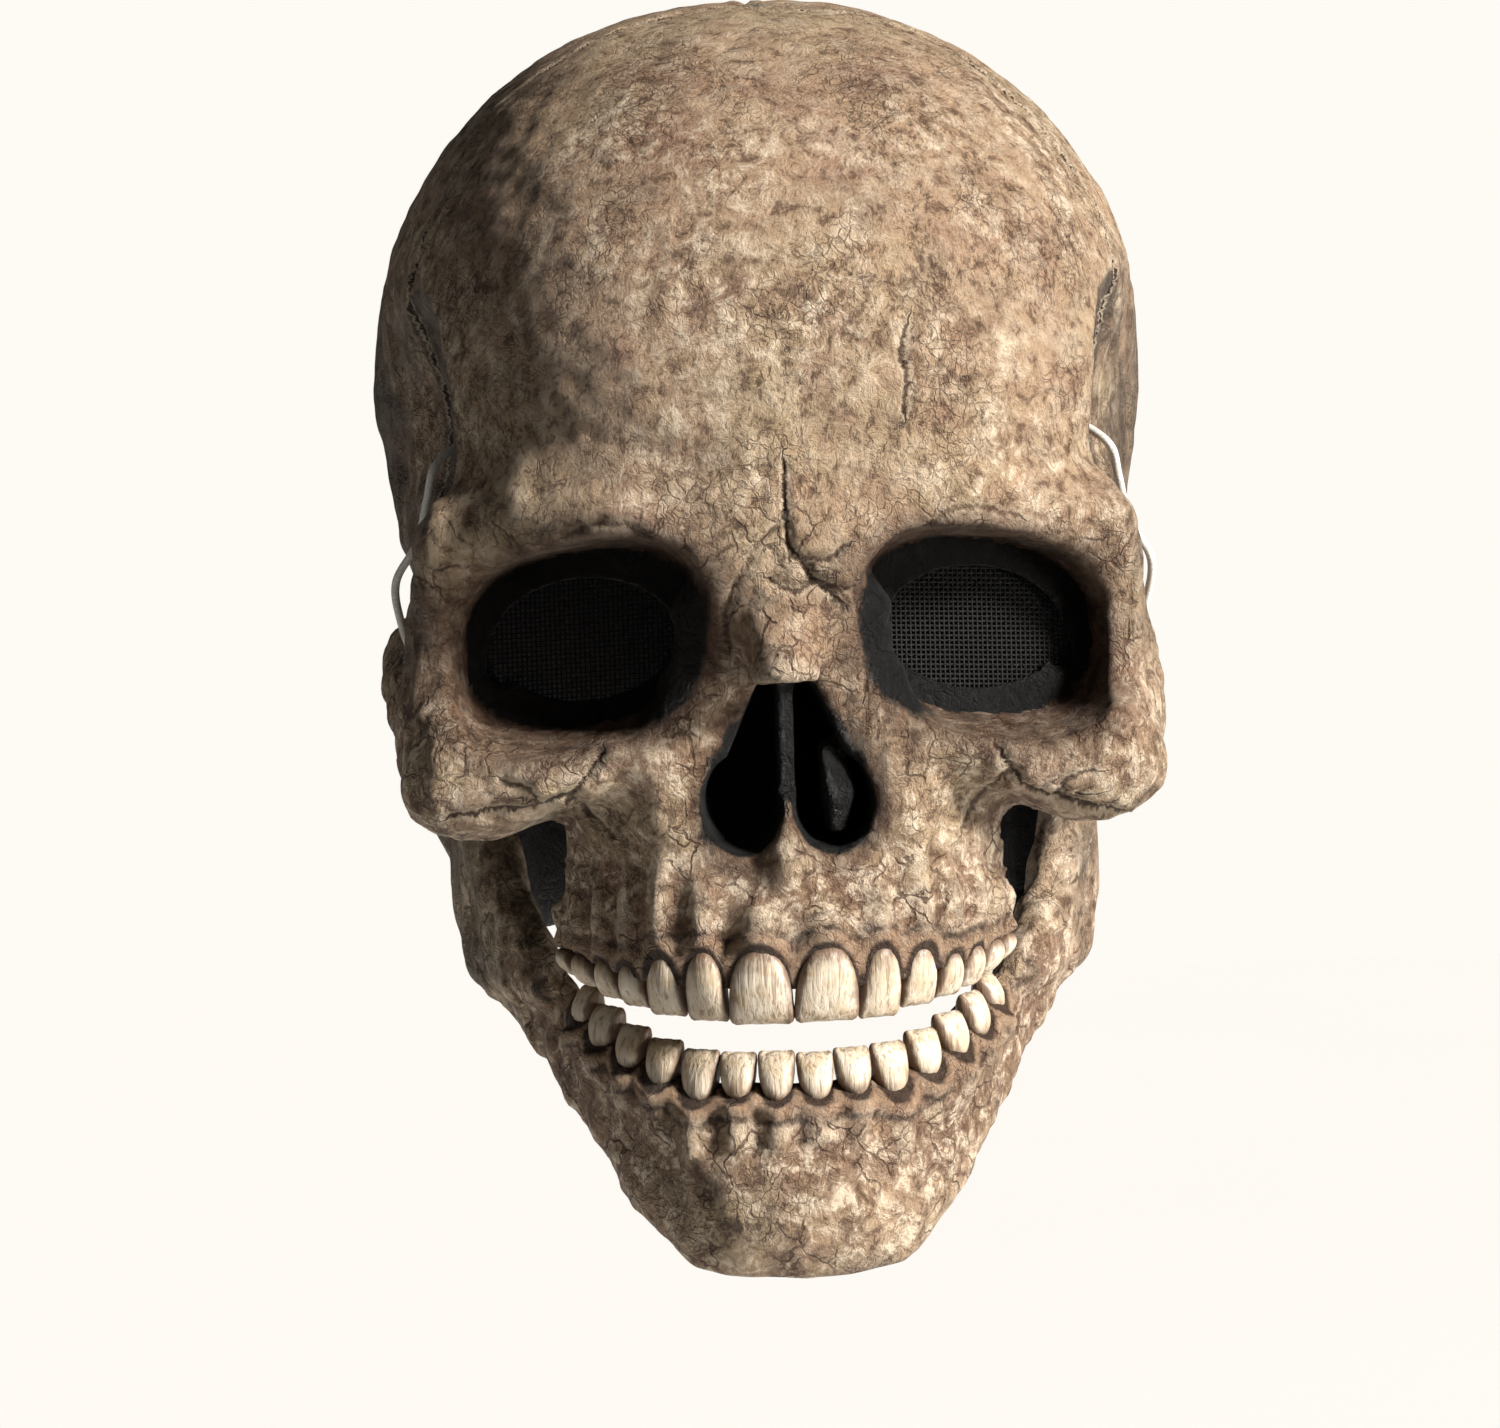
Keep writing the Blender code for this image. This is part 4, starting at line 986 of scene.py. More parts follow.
# %% Noise, points and attributes
def noise_at(points, size, seed):
    """Smooth noise from -1 to 1. size is its grain, one length or one for each axis."""
    size = np.broadcast_to(np.array(size, float), 3)
    cells = (points + 0.35) / size
    low = np.floor(cells).astype(int)
    lattice = np.random.default_rng(seed).uniform(-1, 1, np.ceil(0.75 / size).astype(int) + 2)
    t = cells - low
    return weighed(lattice, low, t * t * (3 - 2 * t))


def points_of(made):
    count = len(made.data.vertices)
    points, normals = np.empty(3 * count), np.empty(3 * count)
    made.data.vertices.foreach_get("co", points)
    made.data.vertices.foreach_get("normal", normals)
    return points.reshape(-1, 3), normals.reshape(-1, 3)


def move_points(made, points):
    made.data.vertices.foreach_set("co", points.ravel())
    made.data.update()


def give(made, name, *columns):
    """Stores up to three numbers per point, which a material reads by the name."""
    filled = list(columns) + [np.zeros(len(columns[0]))] * (3 - len(columns))
    layer = made.data.attributes.new(name, "FLOAT_VECTOR", "POINT")
    layer.data.foreach_set("vector", np.stack(filled, axis=1).astype(np.float32).ravel())


def step_up(values, low, high):
    """0 below low, 1 above high, and smooth between."""
    t = np.clip((values - low) / (high - low), 0, 1)
    return t * t * (3 - 2 * t)


def bump_at(values, centre, width):
    return np.exp(-(((values - centre) / width) ** 2))


print("noise at two spots:", noise_at(np.array([[0, 0, 0], [0.01, 0, 0.02]]), 5 * MM, 1).round(3))

# %% [markdown]
# ## Sutures and cracks
#
# A suture is where a sheet in space cuts the skull, so its distance is easy to write down
# anywhere. A crack is a short zigzag seen from the front. Each gives every nearby point two
# numbers: how far along the line it is, and how far beside it. The paint later draws a
# crisp, wriggling line from these two, much finer than the mesh.

# %% Sutures and cracks
SUTURE_REACH = 9 * MM
CROWN_SUTURE_FRONT = 14 * MM
CROWN_SUTURE_BOW = 4.2
CROWN_WAVE = (2.6 * MM, 9 * MM)
BACK_WAVE = (1.5 * MM, 8 * MM)
CRACK_REACH = 6 * MM
CRACKS = (
    # depth in mm, and the corners, seen from the front: across and down in mm
    (0.9, ((1, -104), (0.5, -113), (1, -122), (5, -129), (13.5, -137))),
    (0.5, ((-2, -119), (-7, -124), (-10, -131))),
    (0.9, ((-43, -171), (-46, -176), (-50.5, -181), (-58, -184), (-68, -184), (-79, -186))),
    (0.6, ((-50.5, -181), (-47, -187), (-41, -192))),
    (0.9, ((49, -172), (52, -177), (55, -183), (63, -186), (72, -189), (80, -191))),
    (0.6, ((52, -178), (46, -186), (42, -193))),
    (0.5, ((-30, -121), (-36, -117), (-43, -117), (-50, -120))),
    (0.5, ((33, -120), (40, -116), (47, -116), (55, -119))),
    (0.8, ((30, -74), (28.5, -80), (30, -87), (29, -93))),
    (0.7, ((-3, -131), (2, -134), (8, -132), (15, -134))),
    (0.6, ((5, -126), (10, -127), (14, -124))),
    (0.6, ((-11, -132), (-14, -139), (-13, -147))),
    (0.6, ((17, -134), (18, -142), (20, -150), (19, -158))),
    (0.7, ((-58, -184), (-60, -179), (-66, -177))),
    (0.7, ((63, -186), (66, -181), (72, -180))),
)


def sutures(points):
    """Along, beside and how much, for the seam over the crown and the one behind it."""
    x, y, z = points.T
    across_v = y + CROWN_SUTURE_FRONT + CROWN_SUTURE_BOW * x**2
    across_u = np.arctan2(x, z + 0.4 * SKULL_HEIGHT) * HALF_WIDTH
    across_v = across_v + CROWN_WAVE[0] * np.sin(across_u / CROWN_WAVE[1])
    on_top = step_up(z, -0.135, -0.115) * (1 - step_up(np.abs(across_v), 5 * MM, SUTURE_REACH))
    behind_v = x + BACK_WAVE[0] * np.sin(y / BACK_WAVE[1])
    behind = step_up(y, -16 * MM, -10 * MM) * (1 - step_up(y, 0.075, 0.10))
    behind = behind * (1 - step_up(np.abs(behind_v), 5 * MM, SUTURE_REACH)) * (z > -0.08)
    first = np.abs(across_v) * (1 + 3 * (on_top < 0.01)) < np.abs(behind_v) * (1 + 3 * (behind < 0.01))
    return (
        np.where(first, across_u, y),
        np.where(first, across_v, behind_v),
        np.maximum(on_top * first, behind * ~first),
    )


def cracks(points, normals):
    """Along, beside and how much, for the cracks in the face."""
    x, y, z = points.T
    facing = step_up(-normals[:, 1], 0.05, 0.35) * (y < -0.035)
    best = np.full(len(points), 1.0)
    u, v, deep = np.zeros(len(points)), np.full(len(points), 1.0), np.zeros(len(points))
    for depth, corners in CRACKS:
        corners = np.array(corners) * MM
        run = 0.0
        for a, b in zip(corners, corners[1:]):
            way = b - a
            length = np.hypot(*way)
            t = np.clip(((x - a[0]) * way[0] + (z - a[1]) * way[1]) / length**2, 0, 1)
            away = np.hypot(x - a[0] - t * way[0], z - a[1] - t * way[1])
            side = np.sign((x - a[0]) * way[1] - (z - a[1]) * way[0])
            closer = away < best
            best = np.where(closer, away, best)
            u = np.where(closer, run + t * length, u)
            v = np.where(closer, side * away, v)
            deep = np.where(closer, depth, deep)
            run += length
    return u, v, deep * facing * (1 - step_up(best, 3.5 * MM, CRACK_REACH))


print("cracks:", len(CRACKS), "with", sum(len(row[1]) for row in CRACKS), "corners")

# %% [markdown]
# ## Gums
#
# Around every crown the casting has a raised lip with a groove behind it, like cuticles.
# Each point near the teeth is laid out along the arch, and its distance from the nearest
# crown's outline, a tall arch, is worked out there.

# %% Distance from the crowns
CROWN_ROUND = (2.1, 2.7)
GUM_REACH = 8 * MM


def from_crowns(points, row, arch):
    """How far each point is outside the nearest crown's outline, seen from outside, and how
    far up a root's ridge it is."""
    _, xs, ys, run = (values[::4] for values in arch_line(*arch))
    x, z = np.abs(points[:, 0]), points[:, 2]
    along = run[np.hypot(x[:, None] - xs, points[:, 1][:, None] - ys).argmin(axis=1)]
    best = np.full(len(points), 1.0)
    ridge = np.zeros(len(points))
    for spot in row:
        half = (spot["span"] - TOOTH_GAP) / 2
        up = (z - spot["gum"]) / (spot["root"] - spot["gum"])
        long = step_up(up, -0.1, 0.12) * (1 - step_up(up, 0.65, 1.15))
        ridge = np.maximum(ridge, long * bump_at(along, spot["along"], 0.62 * half))
        tall = spot["gum"] - spot["edge"]
        u = np.abs(along - spot["along"]) / half
        t = np.clip((z - spot["edge"]) / tall, 0, None)
        over = u ** CROWN_ROUND[0] + t ** CROWN_ROUND[1] - 1
        rise_u = CROWN_ROUND[0] * u ** (CROWN_ROUND[0] - 1) / half
        rise_t = CROWN_ROUND[1] * t ** (CROWN_ROUND[1] - 1) / abs(tall)
        best = np.minimum(best, over / np.sqrt(rise_u**2 + rise_t**2 + 1e4))
    return best, ridge


def gum_distance(points, normals, row, arch):
    """The two values above for the points on the outside near a row."""
    heights = [spot[end] for spot in row for end in ("edge", "root")]
    low, high = min(heights) - GUM_REACH, max(heights) + GUM_REACH
    middle = np.array((0, -ARCH_CENTRE * FACE_REACH))
    out = ((points[:, :2] - middle) * normals[:, :2]).sum(axis=1) > 0
    near = out & (points[:, 2] > low) & (points[:, 2] < high) & (points[:, 1] < -0.045)
    found, ridge = np.full(len(points), 1.0), np.zeros(len(points))
    found[near], ridge[near] = from_crowns(points[near], row, arch)
    return found, ridge


print("the first crown's outline is", round(upper_row[0]["span"] * 1000, 1), "mm wide")

# %% [markdown]
# ## Dressing a casting
#
# One function moves a casting's points and stores what the paint needs: how hollow or
# raised each spot is, whether it lies inside, how deep it is in a black-painted hole, where
# the grain runs, how much painted shade it gets in the temple's scoop and on the sides, and
# the distances from the crowns, the sutures and the cracks.

# %% Relief and paint values
def hollowness(clay, body, points, length):
    """Positive on ridges and negative in creases: the body's field against its average."""
    return clay.at(points, softened(body, cells_of(length)) - body) / MM


FULL_DEPTH = 20.0
GAUZE_POCKET = eye_hole(GAUZE_OVERLAP + WALL + 1 * MM, -0.5 * MM, 6 * WALL)


def black_depth(points):
    """How far, in mm, a point is inside the paint line of a socket or of the nose."""
    x, y, z = np.abs(points[:, 0]), points[:, 1], points[:, 2]
    eye = -socket_ring(x, y, z) / MM
    eye = np.where(y < socket_floor(x) + 2 * WALL, eye, -FULL_DEPTH)
    eye = np.where(GAUZE_POCKET[1](x, y, z) < 0, FULL_DEPTH, eye)
    outline = pear(x, -NOSE_TOP * SKULL_HEIGHT - z, NOSE_WIDTH / 2)
    nose = np.minimum((y + 0.862 * FACE_REACH) / MM, (1.5 * MM - outline) / MM * 2)
    nose = np.where(y < -NOSE_FRONT * FACE_REACH + NOSE_DEPTH + 1 * MM, nose, -FULL_DEPTH)
    return np.clip(np.maximum(eye, nose), -FULL_DEPTH, FULL_DEPTH)


def grain_amount(points, is_jaw):
    """Where the bone has long upright grain: beside the nose, on the sides, on the jaw."""
    x, y, z = np.abs(points[:, 0]), points[:, 1], points[:, 2]
    if is_jaw:
        return step_up(x, 0.022, 0.045) * 0.9
    nose = bump_at(x, 0.020, 0.010) * step_up(-y, 0.075, 0.085) * bump_at(z, -0.152, 0.026)
    side = step_up(x, 0.070, 0.084) * step_up(-z, 0.045, 0.075)
    return np.clip(1.3 * nose + side, 0, 1)


def recess_shade_amount(points):
    """How much painted shade a spot gets: in the temple's scoop, and on the skull's sides, where it also
    stands for their darker grey-brown tone.
    """
    x, y, z = np.abs(points[:, 0]), points[:, 1], points[:, 2]
    nearest = np.minimum(TEMPLE[1](x, y, z), BEHIND_SOCKET[1](x, y, z))
    scoop = 1 - step_up(nearest, 0.3 * MM, 2.0 * MM)
    flank = step_up(x, 0.070, 0.096) * step_up(-z, 0.02, 0.10) * (1 - step_up(-z, 0.12, 0.19))
    branch = 0.62 * step_up(x, 0.062, 0.078) * step_up(-z, 0.185, 0.205)
    return np.maximum(np.maximum(0.95 * scoop, branch), flank * (1 - step_up(y, 0.02, 0.10)))


GRAIN_SIZE = (2.6 * MM, 3 * MM, 17 * MM)
GRAIN_HEIGHT = 0.85
ROOT_HEIGHT = 1.60
LUMPS = ((0.50, 15 * MM, 11), (0.42, 6.5 * MM, 12), (0.26, 3.2 * MM, 13))
GROOVES = {
    # how far it wriggles, the noise's size and seed, depth, half width, the lip's height and place
    "suture": (1.3, 4, 15, 0.75, 1.1, 0.45, 2.6),
    "crack": (0.9, 3, 16, 1.3, 0.9, 0.8, 2.3),
}


def dress(made, clay, inside, body, row, arch, is_jaw):
    points, normals = points_of(made)
    inner = 1 - step_up(np.abs(clay.at(points, inside)), 0.4 * MM, 1.2 * MM)
    outer = 1 - inner
    small = hollowness(clay, body, points, 2.6 * MM)
    large = hollowness(clay, body, points, 8 * MM)
    gum, ridge = gum_distance(points, normals, row, arch)
    beside = (1 - ridge) * bump_at(gum, 7 * MM, 5 * MM) * (gum < 0.5)
    grain = grain_amount(points, is_jaw) * outer
    black = np.full(len(points), -FULL_DEPTH) if is_jaw else black_depth(points)
    calm = outer * (1 - 0.7 * step_up(black, 0, 3))
    lift = sum(height * noise_at(points, size, seed) for height, size, seed in LUMPS)
    lift = lift + GRAIN_HEIGHT * grain * noise_at(points, GRAIN_SIZE, 14)
    lift = lift + 0.60 * bump_at(gum, 1.2 * MM, 0.8 * MM) - 0.60 * bump_at(gum, 2.9 * MM, 0.7 * MM)
    lift = lift + ROOT_HEIGHT * ridge * (1 + 0.4 * noise_at(points, 6 * MM, 17)) - beside
    for name, numbers in ({} if is_jaw else GROOVES).items():
        wriggle, size, seed, depth, half, lip, lip_at = numbers
        along, aside, much = sutures(points) if name == "suture" else cracks(points, normals)
        off = aside + wriggle * MM * noise_at(points, size * MM, seed)
        lift = lift - much * depth * bump_at(off, 0, half * MM)
        lift = lift + much * lip * bump_at(np.abs(off), lip_at * MM, 1.0 * MM)
        give(made, name, along, aside, much * outer)
    move_points(made, points + normals * (lift * calm * MM)[:, None])
    give(made, "form", small, large, inner)
    give(made, "paint", black, grain, recess_shade_amount(points) * outer)
    give(made, "gum", np.clip(gum, -0.02, 0.02) / MM, ridge, beside)
    smooth(made)
    print(made.name, "ridges up to", round(small.max(), 2), "creases down to", round(small.min(), 2))


dress(skull_casting, skull, skull_inside, skull_body, upper_row, UPPER_ARCH, False)
dress(jaw_casting, jaw, jaw_inside, jaw_body, lower_row, LOWER_ARCH, True)
print(round(time.time() - started, 1), "s so far")

# %% [markdown]
# ## Crowns
#
# The crowns are cast in one with the bone, but they are smoother and lighter, so they are
# meshes of their own. Each is lofted through rings: narrow at the biting edge, full in the
# belly, and closing to a tall arch under the gum. No two are quite alike: each is turned
# and shifted a little, with a fixed seed.

# %% Crowns
CROWN_RINGS = (
    # up, width, thick, lean
    (-0.03, 0.84, 0.16, 0.00),
    (0.00, 0.96, 0.34, 0.02),
    (0.05, 1.02, 0.50, 0.05),
    (0.13, 1.04, 0.64, 0.08),
    (0.25, 1.02, 0.78, 0.12),
    (0.38, 1.03, 0.88, 0.15),
    (0.50, 1.03, 0.95, 0.16),
    (0.62, 1.03, 0.98, 0.16),
    (0.73, 1.03, 0.99, 0.15),
    (0.82, 1.03, 0.97, 0.13),
    (0.90, 1.04, 0.92, 0.10),
    (0.96, 1.06, 0.82, 0.05),
    (1.00, 1.00, 0.66, -0.02),
    (1.08, 1.00, 0.40, -0.12),
)
CROWN_SIDES = 24
CROWN_CORNERS = 0.72


def ring_quads(rings, sides):
    """The faces of a tube whose points come ring by ring."""
    steps = [(ring * sides, i, (i + 1) % sides) for ring in range(rings - 1) for i in range(sides)]
    return [(at + i, at + j, at + j + sides, at + i + sides) for at, i, j in steps]


def crown_width(up):
    """A crown's width as a share of the tooth's: an arch that closes at the gum."""
    arch = (1 - np.clip(up, 0, 0.985) ** CROWN_ROUND[1]) ** (1 / CROWN_ROUND[0])
    return max(arch, 0.16)


def crown(spot, side, chance):
    """Points, faces and per-point values of one crown."""
    along = np.array((-spot["outward"][1], spot["outward"][0]))
    full = spot["span"] - 0.5 * TOOTH_GAP
    tall = spot["gum"] - spot["edge"]
    tip, twist, shift = chance.uniform(-1, 1, 3) * (0.030, 0.050, 0.35 * MM)
    shade = chance.uniform()
    points, values = [], []
    for up, width, thick, lean in CROWN_RINGS:
        half = 0.5 * full * crown_width(up) * width
        for index in range(CROWN_SIDES):
            turn = 2 * np.pi * (index + 0.5) / CROWN_SIDES
            u, v = (np.sign(way) * abs(way) ** CROWN_CORNERS for way in (np.cos(turn), np.sin(turn)))
            furrow = 1 - 0.05 * np.cos(3 * np.pi * u) * (v > 0) * (0.2 < up < 0.95)
            p = half * u + tip * (up - 0.5) * tall
            q = TOOTH_THICKNESS * (lean + 0.5 * thick * v * furrow) + twist * half * u
            z = spot["edge"] + up * tall + shift * (1 - up)
            z = z + np.sign(tall) * 0.35 * MM * np.cos(3 * np.pi * u) * (up < 0.1)
            at = spot["centre"] + p * along + q * spot["outward"]
            points.append((side * at[0], at[1], z))
            values.append((u, up, shade))
    faces = ring_quads(len(CROWN_RINGS), CROWN_SIDES)
    for ring in (0, len(CROWN_RINGS) - 1):
        first = ring * CROWN_SIDES
        points.append(tuple(np.mean(points[first : first + CROWN_SIDES], axis=0)))
        values.append((0, CROWN_RINGS[ring][0], shade))
        for index in range(CROWN_SIDES):
            a, b = first + index, first + (index + 1) % CROWN_SIDES
            faces.append((b, a, len(points) - 1) if ring == 0 else (a, b, len(points) - 1))
    if (side > 0) == (tall > 0):
        faces = [face[::-1] for face in faces]
    return points, faces, values


def crowns(name, row, seed):
    chance = np.random.default_rng(seed)
    points, faces, values = [], [], []
    for spot in row:
        for side in (1, -1):
            some, theirs, more = crown(spot, side, chance)
            faces += [tuple(len(points) + i for i in face) for face in theirs]
            points += some
            values += more
    made = as_object(name, points, faces)
    give(made, "tooth", *np.array(values).T)
    smooth(made)
    return made


upper_teeth = crowns("upper_teeth", upper_row, 21)
lower_teeth = crowns("lower_teeth", lower_row, 22)
print("crowns:", len(upper_teeth.data.polygons) + len(lower_teeth.data.polygons), "faces")

# %% [markdown]
# ## Gauze behind the eyes
#
# The gauze is a black open weave, so its threads are real ones: Geometry Nodes repeat one
# thread across an oval, each as long as the oval is there, in both directions, and let them
# pass over and under each other. The flat oval is then laid against the back of the socket,
# a glue line away from it.

# %% Gauze threads
WEAVE_PITCH = 1.15 * MM
THREAD = 0.42 * MM
THREAD_RISE = 0.42
EDGE_ROOM = 0.2 * MM
GLUE_GAP = 0.35 * MM
GAUZE_THICKNESS = 1 * MM
GAUZE_HALF = (EYE_HOLE_WIDTH / 2 + GAUZE_OVERLAP, EYE_HOLE_HEIGHT / 2 + GAUZE_OVERLAP)


def node(tree, kind, values=None, **settings):
    """Adds a node. values sets its inputs, by name or number, to numbers or to sockets."""
    made = tree.nodes.new(kind)
    for key, value in settings.items():
        setattr(made, key, value)
    for key, value in (values or {}).items():
        target = made.inputs[key]
        if isinstance(value, bpy.types.NodeSocket):
            tree.links.new(value, target)
        else:
            target.default_value = value
    return made


def calculate(tree, operation, *terms):
    return node(tree, "ShaderNodeMath", dict(enumerate(terms)), operation=operation).outputs[0]


def thread_set(tree, inputs, across, reach, phase):
    """Threads along Y, spaced along X over across, each reaching to the oval's edge."""

    def sum_of(operation, *terms):
        return calculate(tree, operation, *terms)

    def vector(**parts):
        return node(tree, "ShaderNodeCombineXYZ", parts).outputs[0]

    pitch = inputs["Pitch"]
    count = sum_of("FLOOR", sum_of("DIVIDE", across, pitch))
    ends = sum_of("MULTIPLY_ADD", count, 2.0, 1.0)
    begin = vector(X=sum_of("MULTIPLY", sum_of("MULTIPLY", count, pitch), -1.0))
    places = {"Count": ends, "Start Location": begin, "Offset": vector(X=pitch)}
    row = node(tree, "GeometryNodeMeshLine", places)
    thread = node(tree, "GeometryNodeCurvePrimitiveLine", {"Start": (0, -1, 0), "End": (0, 1, 0)})
    at = node(tree, "GeometryNodeInputPosition").outputs[0]
    x, y, _ = node(tree, "ShaderNodeSeparateXYZ", {0: at}).outputs
    share = sum_of("DIVIDE", x, sum_of("ADD", across, EDGE_ROOM))
    left = sum_of("SUBTRACT", 1.0, sum_of("MULTIPLY", share, share))
    size = vector(X=1.0, Y=sum_of("MULTIPLY", sum_of("SQRT", left), reach), Z=1.0)
    laid = {"Points": row.outputs[0], "Instance": thread.outputs[0], "Scale": size}
    laid = node(tree, "GeometryNodeInstanceOnPoints", laid)
    real = node(tree, "GeometryNodeRealizeInstances", {0: laid.outputs[0]})
    fine = node(tree, "GeometryNodeResampleCurve", {"Curve": real.outputs[0]}, mode="LENGTH")
    tree.links.new(sum_of("DIVIDE", pitch, 3.0), fine.inputs["Length"])
    steps = sum_of("DIVIDE", sum_of("ADD", x, y), pitch)
    wave = sum_of("SINE", sum_of("MULTIPLY_ADD", steps, np.pi, phase))
    rise = sum_of("MULTIPLY", wave, sum_of("MULTIPLY", inputs["Thread"], THREAD_RISE))
    waved = {"Geometry": fine.outputs[0], "Offset": vector(Z=rise)}
    waved = node(tree, "GeometryNodeSetPosition", waved)
    radius = sum_of("MULTIPLY", inputs["Thread"], 0.5)
    circle = node(tree, "GeometryNodeCurvePrimitiveCircle", {"Resolution": 5, "Radius": radius})
    skin = {"Curve": waved.outputs[0], "Profile Curve": circle.outputs[0], "Fill Caps": True}
    return node(tree, "GeometryNodeCurveToMesh", skin).outputs[0]


print("gauze:", [round(2000 * v) for v in GAUZE_HALF], "mm, threads every", WEAVE_PITCH * 1000, "mm")

# %% The weave as a node tree, and the two patches
def weave_tree(material):
    tree = bpy.data.node_groups.new("woven oval", "GeometryNodeTree")
    faces = tree.interface
    for name in ("Half Width", "Half Height", "Pitch", "Thread"):
        faces.new_socket(name, in_out="INPUT", socket_type="NodeSocketFloat")
    faces.new_socket("Geometry", in_out="OUTPUT", socket_type="NodeSocketGeometry")
    inputs = node(tree, "NodeGroupInput").outputs
    warp = thread_set(tree, inputs, inputs["Half Width"], inputs["Half Height"], 0.0)
    weft = thread_set(tree, inputs, inputs["Half Height"], inputs["Half Width"], np.pi)
    turned = node(tree, "GeometryNodeTransform", {"Geometry": weft, "Rotation": (0, 0, -np.pi / 2)})
    both = node(tree, "GeometryNodeJoinGeometry")
    tree.links.new(turned.outputs[0], both.inputs[0])
    tree.links.new(warp, both.inputs[0])
    real = node(tree, "GeometryNodeRealizeInstances", {0: both.outputs[0]})
    painted = node(tree, "GeometryNodeSetMaterial", {"Geometry": real.outputs[0], "Material": material})
    out = node(tree, "NodeGroupOutput")
    tree.links.new(painted.outputs[0], out.inputs[0])
    return tree


def grown(name, tree, sizes):
    """Runs a node tree on an empty mesh and returns the plain mesh that it makes."""
    made = as_object(name, [(0, 0, 0)], [])
    modifier = made.modifiers.new("weave", "NODES")
    modifier.node_group = tree
    for item in tree.interface.items_tree:
        if item.item_type == "SOCKET" and item.in_out == "INPUT" and item.name in sizes:
            modifier[item.identifier] = float(sizes[item.name])
    return applied(made)


def gauze(name, side, tree):
    sizes = dict(zip(("Half Width", "Half Height"), GAUZE_HALF), Pitch=WEAVE_PITCH, Thread=THREAD)
    made = grown(name, tree, sizes)
    flat, _ = points_of(made)
    x = flat[:, 0] + EYE_HOLE_SPACING / 2
    depth = WALL + GLUE_GAP + GAUZE_THICKNESS / 2 + flat[:, 2]
    y = socket_floor(x) + depth
    z = flat[:, 1] - EYE_HOLE_SLANT * flat[:, 0] - SOCKET_DOWN * SKULL_HEIGHT
    move_points(made, np.stack((side * x, y, z), axis=1))
    smooth(made)
    if side > 0:
        made.data.flip_normals()
    return made


gauze_material = bpy.data.materials.new("black_gauze")
woven = weave_tree(gauze_material)
SIDES = {1: "left", -1: "right"}
gauzes = {side: gauze("eye_gauze_" + name, side, woven) for side, name in SIDES.items()}
print("gauze faces:", [len(g.data.polygons) for g in gauzes.values()])

# %% [markdown]
# ## Elastic cords
#
# Each cord is 2 mm of rubber under a braided cotton cover. The cover's strands cross each
# other in two spirals, which is written straight into the tube's radius. At each end the
# cord is tied in an overhand knot, so that it can't slip through its hole.

# %% Cords
CORD_SIDES = 16
STRANDS = 4
BRAID_PITCH = 5 * MM
COVER_MIDDLE = 0.97
COVER_RELIEF = 0.05
CORD_STEPS = 12
CORD_RING_GAP = 0.35 * MM
KNOT_SIZE = 0.62 * MM


def cord_line(steps):
    """The cord's middle line as a smooth curve through its way."""
    way = np.array([place(*row[:3]) for row in CORD_WAY])
    way = np.vstack((2 * way[0] - way[1], way, 2 * way[-1] - way[-2]))
    line = []
    for i in range(1, len(way) - 2):
        a, b, c, d = way[i - 1 : i + 3]
        slope, curve, twist = c - a, 2 * a - 5 * b + 4 * c - d, 3 * b - a - 3 * c + d
        for t in np.arange(steps) / steps:
            line.append(0.5 * (2 * b + slope * t + curve * t**2 + twist * t**3))
    line.append(way[-2])
    return np.array(line)


def evenly(line, gap):
    run = np.concatenate(([0], np.cumsum(np.linalg.norm(np.diff(line, axis=0), axis=1))))
    at = np.linspace(0, run[-1], int(run[-1] / gap) + 2)
    return np.stack([np.interp(at, run, line[:, i]) for i in range(3)], axis=1), at


def braided(line):
    """Points and faces of a braided tube with closed ends along a line."""
    line, run = evenly(line, CORD_RING_GAP)
    ahead = np.gradient(line, axis=0)
    across = np.array((0.3, 1.0, 0.2))
    turns = 2 * np.pi * np.arange(CORD_SIDES) / CORD_SIDES
    points = []
    for at, direction, passed in zip(line, ahead, run):
        direction = unit(direction)
        across = unit(across - (across @ direction) * direction)
        other = np.cross(direction, across)
        spiral = 2 * np.pi * passed / BRAID_PITCH
        cover = np.sin(STRANDS * (turns + spiral)) * np.sin(STRANDS * (turns - spiral))
        radius = CORD_DIAMETER / 2 * (COVER_MIDDLE + COVER_RELIEF * cover)
        for turn, r in zip(turns, radius):
            points.append(at + r * (np.cos(turn) * across + np.sin(turn) * other))
    faces = ring_quads(len(line), CORD_SIDES)
    faces.append(tuple(reversed(range(CORD_SIDES))))
    faces.append(tuple(range(len(points) - CORD_SIDES, len(points))))
    return points, faces


def knot_line(middle, direction, size):
    """An overhand knot around a point, as a three-lobed loop."""
    direction = unit(direction)
    across = unit(np.cross(direction, (0.2, 0.3, 0.9)))
    other = np.cross(direction, across)
    t = np.linspace(0, 2 * np.pi, 60)[:-1]
    a, b, c = np.sin(t) + 2 * np.sin(2 * t), np.cos(t) - 2 * np.cos(2 * t), -np.sin(3 * t)
    return middle + size * (a[:, None] * across + b[:, None] * other + 1.3 * c[:, None] * direction)


def elastic(name, side):
    line = cord_line(CORD_STEPS)
    points, faces = [], []
    ends = ((line[0], line[0] - line[1]), (line[-1], line[-1] - line[-2]))
    lines = [line] + [knot_line(at, direction, KNOT_SIZE) for at, direction in ends]
    for one in lines:
        some, theirs = braided(one)
        faces += [tuple(len(points) + i for i in face) for face in theirs]
        points += [(side * p[0], p[1], p[2]) for p in some]
    if side < 0:
        faces = [face[::-1] for face in faces]
    made = as_object(name, points, faces)
    smooth(made)
    return made


elastics = {side: elastic("elastic_" + name, side) for side, name in SIDES.items()}
cord_length = evenly(cord_line(CORD_STEPS), MM)[1][-1]
print("cord length:", round(cord_length / MM), "mm between its knots")

